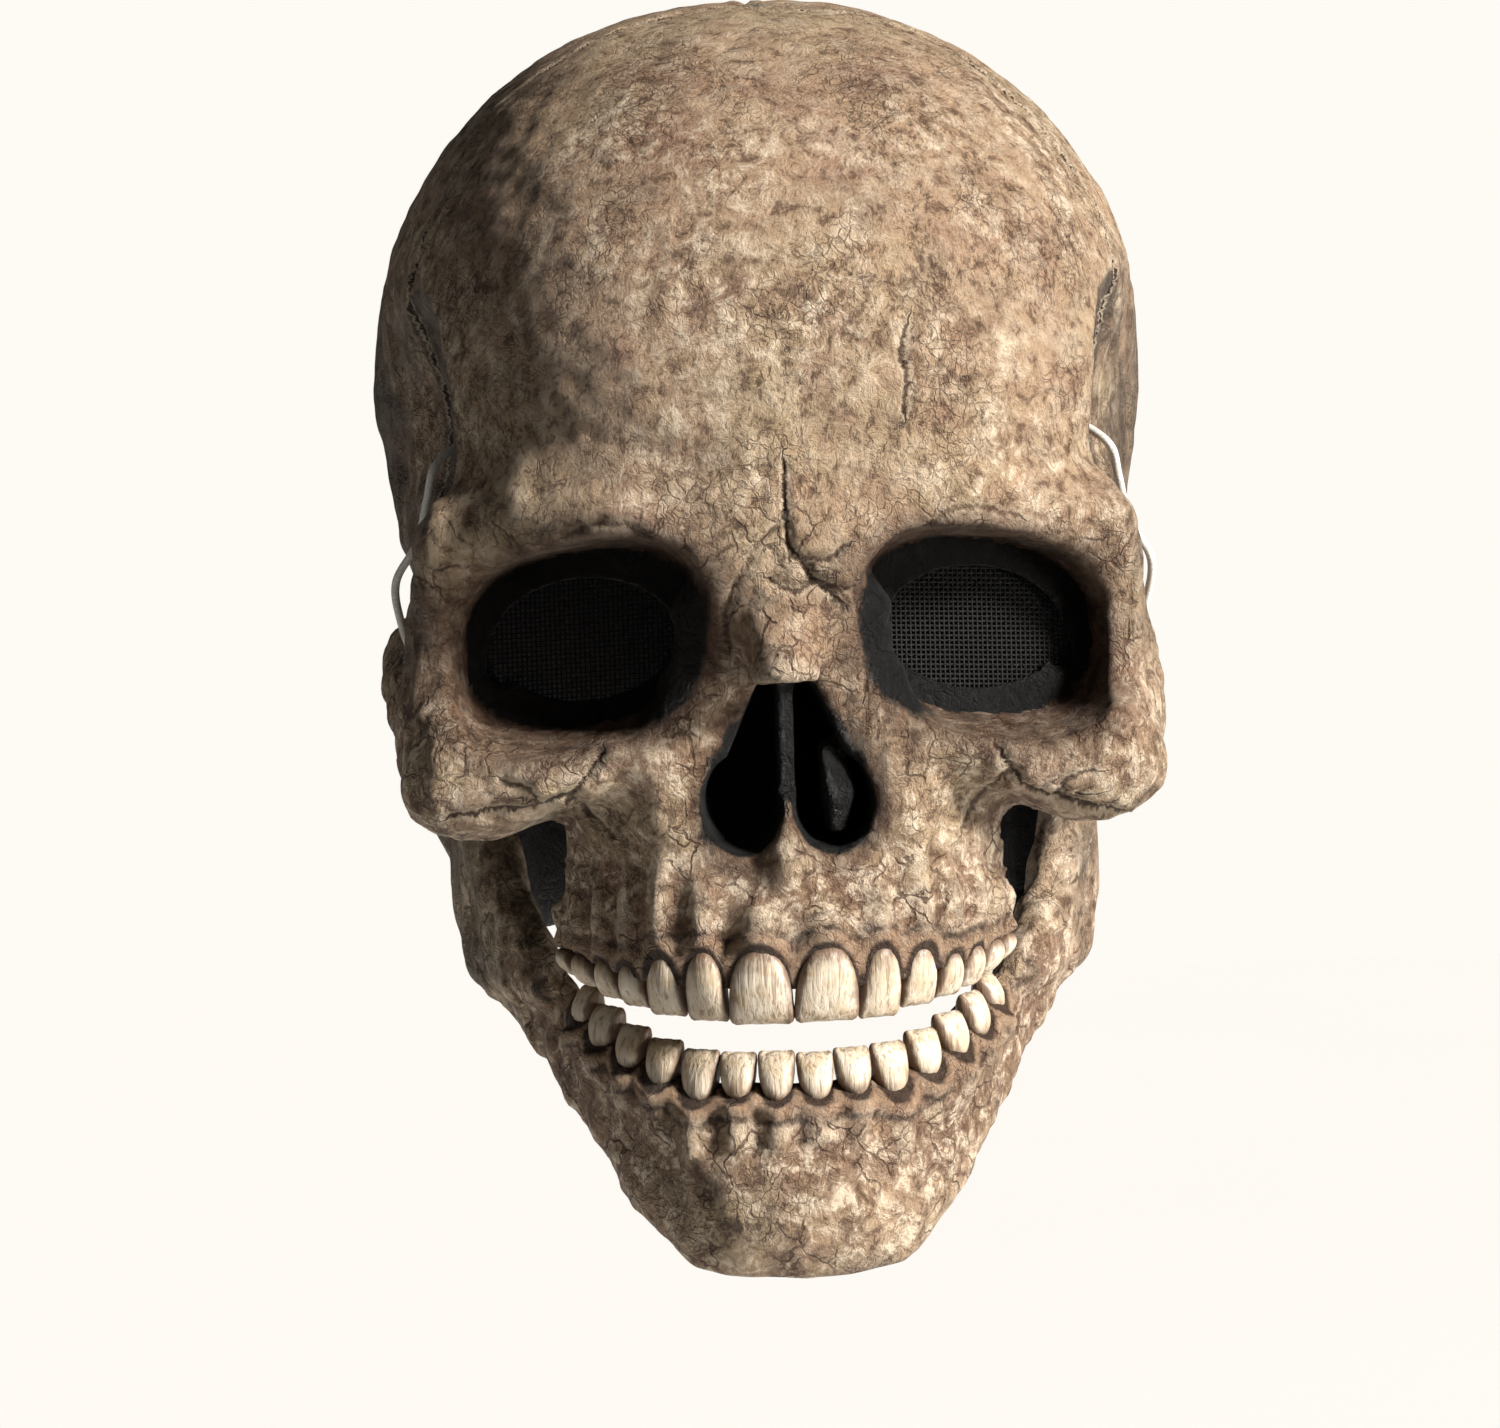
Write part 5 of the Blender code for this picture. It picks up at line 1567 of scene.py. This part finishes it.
# %% [markdown]
# ## Finishes
#
# Each finish is a Principled shader with a few layers in front of it, built from procedural
# nodes. A small helper class keeps the code readable: it adds a node, wires its inputs and
# hands back the output, so a layer reads like a sentence.

# %% A helper for finishes
class Finish:
    """A node material whose layers are written down from left to right."""

    def __init__(self, material, roughness, specular):
        material.use_nodes = True
        self.material = material
        self.tree = material.node_tree
        self.shader = self.tree.nodes["Principled BSDF"]
        self.shader.inputs["Roughness"].default_value = roughness
        self.shader.inputs["Specular IOR Level"].default_value = specular
        self.place = node(self.tree, "ShaderNodeTexCoord").outputs["Object"]

    def math(self, operation, *terms):
        return calculate(self.tree, operation, *terms)

    def times(self, first, second):
        return self.math("MULTIPLY", first, second)

    def plus(self, first, second):
        return self.math("ADD", first, second)

    def shaking(self, most, scale, detail=4.0, rough=0.7):
        """Noise on both sides of zero."""
        return self.times(self.math("SUBTRACT", self.noise(scale, detail, rough), 0.5), most)

    def over(self, ground, paint, share, most):
        """Paint over a ground, where and as much as share says, but not more than most."""
        return self.mix(self.times(share, most), ground, paint)

    def stored(self, name):
        found = node(self.tree, "ShaderNodeAttribute", attribute_name=name).outputs["Vector"]
        return self.parts(found)

    def turned(self, scale, degrees=(0, 0, 0)):
        turn = tuple(np.radians(degrees))
        values = {"Vector": self.place, "Rotation": turn, "Scale": scale}
        return node(self.tree, "ShaderNodeMapping", values).outputs[0]

    def noise(self, scale, detail=3.0, rough=0.55, bend=0.0, at=None):
        values = {"Vector": at or self.place, "Scale": scale, "Detail": detail}
        values.update({"Roughness": rough, "Distortion": bend})
        return node(self.tree, "ShaderNodeTexNoise", values).outputs[0]

    def cell_edges(self, scale, at):
        values = {"Vector": at, "Scale": scale}
        return node(self.tree, "ShaderNodeTexVoronoi", values, feature="DISTANCE_TO_EDGE").outputs[0]

    def parts(self, vector):
        return node(self.tree, "ShaderNodeSeparateXYZ", {0: vector}).outputs

    def fade(self, value, low, high, first=0.0, last=1.0):
        """Smoothly from first to last as the value goes from low to high."""
        numbers = {"From Min": low, "From Max": high, "To Min": first, "To Max": last}
        numbers["Value"] = value
        made = node(self.tree, "ShaderNodeMapRange", numbers, interpolation_type="SMOOTHSTEP")
        return made.outputs[0]

    def mix(self, share, first, second):
        made = node(self.tree, "ShaderNodeMix", data_type="RGBA", clamp_factor=True)
        for socket, value in ((0, share), (6, first), (7, second)):
            if isinstance(value, bpy.types.NodeSocket):
                self.tree.links.new(value, made.inputs[socket])
            else:
                made.inputs[socket].default_value = (*value, 1) if socket else value
        return made.outputs[2]

    def bump(self, height, millimetres):
        values = {"Height": height, "Distance": millimetres * MM, "Strength": 1.0}
        made = node(self.tree, "ShaderNodeBump", values)
        self.tree.links.new(made.outputs[0], self.shader.inputs["Normal"])

    def colour(self, colour):
        self.tree.links.new(colour, self.shader.inputs["Base Color"])

    def roughness(self, value):
        self.tree.links.new(value, self.shader.inputs["Roughness"])


print("finishes are built from", Finish.__name__, "layers")

# %% [markdown]
# ## Painted bone
#
# The painter of the real mask works from light to dark and back. A bone ground is dabbed
# with yellower and pinker tones, a brown wash runs into every pore, crease and suture, a
# dry brush catches the ridges, and black goes into the sockets and the nose. The layers
# below follow the same order. The wash reads the values that the relief stored. Light and
# shade are painted in as well: highlights on the tops of the lumps and shade in their
# hollows, more highlight below the nose and on the chin, shade in the temple's scoop and on
# the skull's sides, and black on the inner side, which is partly painted shade.

# %% Bone layers
BONE = (0.475, 0.320, 0.203)
BONE_YELLOW = (0.500, 0.375, 0.225)
BONE_PINK = (0.360, 0.212, 0.140)
BONE_LIGHT = (0.700, 0.575, 0.425)
# The colour of the painted highlights on the lumps.
BONE_PAINTED_HIGHLIGHT = (0.860, 0.700, 0.520)
WASH = (0.085, 0.040, 0.022)
WASH_DARK = (0.022, 0.011, 0.007)
GUM_BROWN = (0.190, 0.098, 0.062)
# The colour of the painted shade in the temple's scoop and on the skull's sides.
RECESS_SHADE = (0.050, 0.037, 0.029)
BLACK = (0.010, 0.0095, 0.009)
BLACK_SCUFFED = (0.045, 0.042, 0.036)
# Where the jaw's painted highlight is strongest.
CHIN_PAINTED_HIGHLIGHT = (0.004, -0.106, -0.268)


def bone_ground(f):
    """Bone with patches of yellow, pink and dirt, from a hand's breadth down to a dab."""
    patches = f.fade(f.noise(17.0, 3.0, 0.6), 0.42, 0.62)
    ground = f.over(BONE, BONE_YELLOW, patches, 0.75)
    blush = f.fade(f.noise(34.0, 3.0, 0.6, 0.4, f.turned((1, 1.2, 0.9), (20, 40, 10))), 0.50, 0.68)
    ground = f.over(ground, BONE_PINK, blush, 0.70)
    dabs = f.fade(f.noise(120.0, 4.0, 0.65), 0.44, 0.66)
    ground = f.over(ground, BONE_LIGHT, dabs, 0.40)
    dirt = f.fade(f.noise(52.0, 4.0, 0.7, 0.6), 0.50, 0.72)
    return f.over(ground, WASH, dirt, 0.50)


def pores(f, grain):
    """Short dark strokes, close together, which run aslant or along the grain."""
    aslant = f.noise(1.0, 5.0, 0.65, 0.9, f.turned((620, 620, 330), (0, 42, 0)))
    other = f.noise(1.0, 4.0, 0.65, 1.2, f.turned((900, 900, 420), (30, -35, 0)))
    strokes = f.math("MAXIMUM", f.fade(aslant, 0.54, 0.63), f.fade(other, 0.56, 0.65))
    spread = f.fade(f.noise(42.0, 3.0, 0.6), 0.36, 0.64, 0.15, 1.0)
    upright = f.noise(1.0, 4.0, 0.6, 0.5, f.turned((430, 430, 34)))
    share = f.times(grain, 0.70)
    kept = f.times(f.times(strokes, spread), f.math("SUBTRACT", 1.0, f.times(share, 0.5)))
    return f.math("MAXIMUM", kept, f.times(f.fade(upright, 0.50, 0.64), share))


def painted_highlight_share(f, is_skull):
    """How much painted highlight the bone gets: more below the nose and less on the crown, or more on the
    chin.
    """
    if is_skull:
        down = f.parts(f.place)["Z"]
        return f.plus(f.fade(down, -0.185, -0.145, 0.26, 0.0), f.fade(down, -0.03, 0.0, 0.0, -0.2))
    away = node(f.tree, "ShaderNodeVectorMath", {0: f.place, 1: CHIN_PAINTED_HIGHLIGHT}, operation="DISTANCE")
    return f.fade(away.outputs["Value"], 0.015, 0.055, 0.40, 0.12)


def crackle(f):
    """A network of fine creases, in patches, like the skin of dried clay."""
    tangle = {"Vector": f.place, "Scale": 110.0, "Detail": 4.0}
    tangled = node(f.tree, "ShaderNodeTexNoise", tangle).outputs[1]
    shift = {0: tangled, 1: (12 * MM, 12 * MM, 12 * MM), 2: f.place}
    at = node(f.tree, "ShaderNodeVectorMath", shift, operation="MULTIPLY_ADD").outputs[0]
    coarse = f.fade(f.cell_edges(125.0, at), 0.015, 0.065, 1.0, 0.0)
    fine = f.fade(f.cell_edges(290.0, at), 0.02, 0.09, 1.0, 0.0)
    below_brow = f.fade(f.parts(f.place)["Z"], -0.125, -0.095, 1.0, 0.12)
    coarse = f.times(f.times(coarse, below_brow), f.fade(f.noise(70.0, 4.0, 0.6), 0.46, 0.60))
    fine = f.times(fine, f.fade(f.noise(48.0, 3.0, 0.6), 0.44, 0.62, 0.0, 0.55))
    return f.math("MAXIMUM", coarse, fine)


def drawn_line(f, stored, wander, fine, width):
    """A wriggling line along a stored path, and a band on both sides of it."""
    along, beside, much = f.stored(stored)
    wave = node(f.tree, "ShaderNodeCombineXYZ", {"X": f.times(along, 1000.0)}).outputs[0]
    slow = f.math("SUBTRACT", f.noise(0.16, 2.0, 0.6, 0.0, wave), 0.5)
    quick = f.math("SUBTRACT", f.noise(0.85, 1.0, 0.5, 0.0, wave), 0.5)
    shift = f.plus(f.times(slow, wander), f.times(quick, fine))
    ragged = f.shaking(1.2, 420.0, 2.0, 0.55)
    off = f.math("ABSOLUTE", f.plus(f.times(beside, 1000.0), f.plus(shift, ragged)))
    line = f.fade(off, width * 0.4, width * 1.5, 1.0, 0.0)
    edge = f.fade(off, width * 2.2, width * 4, 1.0, 0.0)
    edge = f.times(f.fade(off, width * 1.2, width * 2.0), edge)
    return f.times(line, much), f.times(edge, much)


def gum_paint(f, colour, gum):
    """Brown between the crowns, and a thin dark line on each side of a light lip."""
    rough = f.plus(gum, f.shaking(2.2, 190.0))
    colour = f.mix(f.fade(rough, 1.0, 6.0, 0.60, 0.0), colour, GUM_BROWN)
    lip = f.times(f.fade(rough, 0.6, 1.2), f.fade(rough, 1.5, 2.4, 1.0, 0.0))
    colour = f.over(colour, BONE, lip, 0.60)
    second = f.times(f.fade(rough, 2.3, 2.8), f.fade(rough, 3.0, 3.9, 1.0, 0.0))
    second = f.times(second, f.fade(f.noise(260.0, 3.0), 0.38, 0.58, 0.15, 0.75))
    first = f.times(f.fade(gum, 0.2, 0.9, 1.0, 0.0), 0.85)
    return f.mix(f.math("MAXIMUM", second, first), colour, WASH_DARK)


print("bone ground", BONE, "wash", WASH)

# %% Bone finish
LINES = (
    # stored path, how far it wanders slowly and quickly, width, all in mm
    ("suture", 5.0, 4.2, 0.62),
    ("crack", 2.2, 1.8, 0.50),
)


def bone(name, is_skull):
    f = Finish(bpy.data.materials.new(name), 0.62, 0.35)
    small, large, inner = f.stored("form")
    black, grain, recess_shade = f.stored("paint")
    gum, root, beside = f.stored("gum")
    colour = bone_ground(f)
    spots = pores(f, grain)
    colour = f.over(colour, WASH, spots, 0.62)
    broken = f.shaking(1.6, 160.0)
    crease = f.plus(f.times(small, -1.5), f.times(large, -0.22))
    colour = f.over(colour, WASH, f.fade(f.plus(crease, broken), 0.15, 1.15), 0.80)
    ridge = f.fade(f.plus(small, f.times(broken, 0.25)), 0.15, 0.70)
    ridge = f.times(ridge, f.math("SUBTRACT", 1.0, f.times(spots, 0.7)))
    colour = f.over(colour, BONE_LIGHT, ridge, 0.55)
    colour = f.over(colour, BONE_LIGHT, f.fade(f.plus(root, broken), 0.35, 1.0), 0.55)
    colour = f.over(colour, GUM_BROWN, f.fade(f.plus(beside, broken), 0.2, 1.0), 0.55)
    lumps = f.noise(200.0, 8.0, 0.72, 0.35)
    # Painted highlight on the lumps' tops, in patches, and painted shade in their hollows. The same noise
    # raises the lumps in the bump below.
    patches = f.plus(f.noise(30.0, 3.0), painted_highlight_share(f, is_skull))
    high = f.times(f.fade(lumps, 0.49, 0.62), f.fade(patches, 0.38, 0.64, 0.20, 0.92))
    colour = f.mix(high, colour, BONE_PAINTED_HIGHLIGHT)
    colour = f.mix(f.fade(lumps, 0.37, 0.48, 0.72, 0.0), colour, WASH)
    creased = crackle(f)
    colour = f.over(colour, WASH, creased, 0.75)
    # Painted shade in the temple's scoop and on the skull's sides, broken up by cloudy noise. On the
    # sides it also stands for their darker grey-brown tone.
    cloud = f.plus(f.shaking(1.8, 28.0, 4.0, 0.6), f.times(broken, 0.4))
    cloud = f.times(cloud, f.fade(recess_shade, 0.0, 0.2))
    colour = f.over(colour, RECESS_SHADE, f.fade(f.plus(recess_shade, cloud), 0.15, 0.95), 0.80)
    colour = gum_paint(f, colour, gum)
    height = f.plus(f.times(spots, -0.50), f.times(creased, -0.9))
    height = f.plus(height, f.times(lumps, 3.6))
    for stored, wander, fine, width in LINES if is_skull else ():
        line, edge = drawn_line(f, stored, wander, fine, width)
        colour = f.over(colour, WASH_DARK, line, 0.93)
        colour = f.over(colour, BONE_LIGHT, edge, 0.55)
        height = f.plus(height, f.plus(f.times(line, -0.55), f.times(edge, 0.22)))
    paint_edge = f.plus(black, f.shaking(4.0, 190.0))
    colour = f.mix(f.fade(paint_edge, -7.0, 0.5, 0.0, 0.72), colour, WASH)
    # Black in the painted holes and over the whole inner side. Behind the teeth this is the black paint;
    # elsewhere in the hollow it is painted shade.
    hole = f.math("MAXIMUM", f.fade(paint_edge, -0.4, 1.4), inner)
    scuffed = f.fade(f.noise(300.0, 4.0, 0.7), 0.60, 0.74)
    f.colour(f.mix(hole, colour, f.over(BLACK, BLACK_SCUFFED, scuffed, 0.35)))
    shine = f.math("SUBTRACT", f.times(spots, 0.25), f.times(hole, 0.5))
    f.roughness(f.fade(shine, -0.5, 0.5, 0.42, 0.72))
    f.bump(height, 1.0)
    return f


bone_skull = bone("painted_bone_skull", True)
bone_jaw = bone("painted_bone_jaw", False)
print("bone layers:", len(bone_skull.tree.nodes), "nodes")

# %% [markdown]
# ## Teeth, gauze and elastic
#
# The teeth are off-white with brown washed into their upright furrows, darker at the gum
# and at the sides. The gauze is matt black cotton, and the elastic's cover is off-white.

# %% Tooth finish
TOOTH_WHITE = (0.680, 0.595, 0.475)
TOOTH_CREAM = (0.520, 0.405, 0.270)
TOOTH_BROWN = (0.125, 0.066, 0.038)


def tooth_finish():
    f = Finish(bpy.data.materials.new("painted_teeth"), 0.42, 0.45)
    side, up, shade = f.stored("tooth")
    colour = f.mix(f.fade(f.noise(150.0, 3.0, 0.6), 0.38, 0.66), TOOTH_WHITE, TOOTH_CREAM)
    colour = f.over(colour, TOOTH_CREAM, shade, 0.30)
    furrows = f.noise(1.0, 3.0, 0.6, 0.4, f.turned((900, 900, 90)))
    colour = f.over(colour, TOOTH_BROWN, f.fade(furrows, 0.50, 0.66), 0.55)
    rough = f.shaking(0.5, 260.0, 3.0, 0.55)
    colour = f.mix(f.fade(f.plus(up, rough), 0.55, 1.0, 0.0, 0.90), colour, TOOTH_BROWN)
    flank = f.fade(f.plus(f.math("ABSOLUTE", side), rough), 0.70, 1.0, 0.0, 0.85)
    f.colour(f.mix(flank, colour, TOOTH_BROWN))
    f.bump(f.plus(f.times(furrows, -0.35), f.times(f.noise(300.0), 0.15)), 1.0)
    f.roughness(f.fade(furrows, 0.4, 0.7, 0.36, 0.62))
    return f


teeth_finish = tooth_finish()
print("tooth layers:", len(teeth_finish.tree.nodes), "nodes")

# %% Gauze and elastic finishes
def cloth_finish(material, dark, light, roughness, scale):
    f = Finish(material, roughness, 0.2)
    fibres = f.noise(scale, 3.0, 0.7)
    f.colour(f.mix(f.fade(fibres, 0.35, 0.70), dark, light))
    f.bump(fibres, 0.12)
    f.shader.inputs["Sheen Weight"].default_value = 0.15
    return f


gauze_finish = cloth_finish(gauze_material, (0.006, 0.006, 0.006), (0.022, 0.021, 0.020), 0.9, 2400.0)
elastic_material = bpy.data.materials.new("white_elastic")
elastic_finish = cloth_finish(elastic_material, (0.55, 0.53, 0.48), (0.82, 0.80, 0.75), 0.75, 1800.0)
print("cloth layers:", len(gauze_finish.tree.nodes), "nodes")

# %% [markdown]
# ## Putting the pieces in the frame
#
# Every piece takes the place of the solid that it dresses, rides on the part's only body
# and gets its finish from the table below.

# %% Dressing the frame
PIECES = (
    # piece, finish, node that it replaces, slot
    (skull_casting, bone_skull, "skull_shell", "skull_latex"),
    (upper_teeth, teeth_finish, "skull_shell", "skull_latex"),
    (jaw_casting, bone_jaw, "jaw_shell", "jaw_latex"),
    (lower_teeth, teeth_finish, "jaw_shell", "jaw_latex"),
    (gauzes[1], gauze_finish, "eye_mesh_left", "gauze_left"),
    (gauzes[-1], gauze_finish, "eye_mesh_right", "gauze_right"),
    (elastics[1], elastic_finish, "jaw_cord_left", "elastic_left"),
    (elastics[-1], elastic_finish, "jaw_cord_right", "elastic_right"),
)
for piece, finish, replaced, slot in PIECES:
    piece.data.materials.clear()
    piece.data.materials.append(finish.material)
    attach(piece, "root")
    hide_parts(replaced)
    print(piece.name, "stands for", replaced)

# %% [markdown]
# ## Floor and light
#
# A head that wears the mask holds it up, so the floor lies well below the chin. A strong,
# slightly soft light stands at the right and above, and a weaker one on the same side
# reaches under the brow. The sky has the floor's pale colour for the camera, but it gives
# little light, which keeps the left side as dark as it is in the picture.

# %% Floor and light
SKY_LIGHT = 0.07
SKY_SEEN = 1.0
FLOOR_HEIGHT = -0.42
FLOOR_FRONT = -0.3
FLOOR_BACK = 1.2
FLOOR_HALF = 1.0
FLOOR_TONES = ((0.88, 0.88, 0.87), (0.91, 0.91, 0.90))
SKY_COLOUR = (0.991, 0.962, 0.910, 1)
SUNS = (
    # name, where it stands, strength, how wide it looks in degrees
    ("key", (0.95, -0.60, 0.58), 7.2, 12),
    ("low", (0.98, -0.60, -0.05), 1.7, 16),
)
SUN_COLOUR = (1.0, 0.965, 0.92)


def make_floor():
    """A plain pale sheet below the mask, reaching further back than forward."""
    xs, ys = (-FLOOR_HALF, FLOOR_HALF), (FLOOR_FRONT, FLOOR_BACK)
    corners = [(x, y, FLOOR_HEIGHT) for y in ys for x in xs]
    floor = as_object("floor", corners, [(0, 1, 3, 2)])
    f = Finish(bpy.data.materials.new("pale_floor"), 0.9, 0.1)
    f.colour(f.mix(f.noise(3.0, 2.0), *FLOOR_TONES))
    floor.data.materials.append(f.material)
    floor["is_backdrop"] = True
    return floor


def sun(name, direction, strength, degrees):
    light = bpy.data.lights.new(name, "SUN")
    light.energy, light.angle, light.color = strength, np.radians(degrees), SUN_COLOUR
    made = bpy.data.objects.new(name, light)
    bpy.context.scene.collection.objects.link(made)
    made.rotation_mode = "QUATERNION"
    made.rotation_quaternion = (-Vector(direction)).to_track_quat("-Z", "Y")
    return made


make_floor()
for row in SUNS:
    sun(*row)
sky = bpy.data.worlds.new("sky")
bpy.context.scene.world = sky
sky.use_nodes = True
background = sky.node_tree.nodes["Background"]
background.inputs[0].default_value = SKY_COLOUR
seen = node(sky.node_tree, "ShaderNodeLightPath").outputs["Is Camera Ray"]
strength = calculate(sky.node_tree, "MULTIPLY_ADD", seen, SKY_SEEN - SKY_LIGHT, SKY_LIGHT)
sky.node_tree.links.new(strength, background.inputs[1])
bpy.context.scene.view_settings.view_transform = "Standard"
print("floor at", FLOOR_HEIGHT, "m")

# %% [markdown]
# ## Measuring
#
# The dressed model's box is measured against the solids' box, and how much it grew is
# printed. The dressed model has to keep the solids' size.

# %% Sizes and finish
low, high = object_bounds()
pairs = zip((*low, *high), (*cad_low, *cad_high))
print("grew by, in mm:", [round(1000 * (float(a) - float(b)), 1) for a, b in pairs])
print("made in", round(time.time() - started, 1), "s")
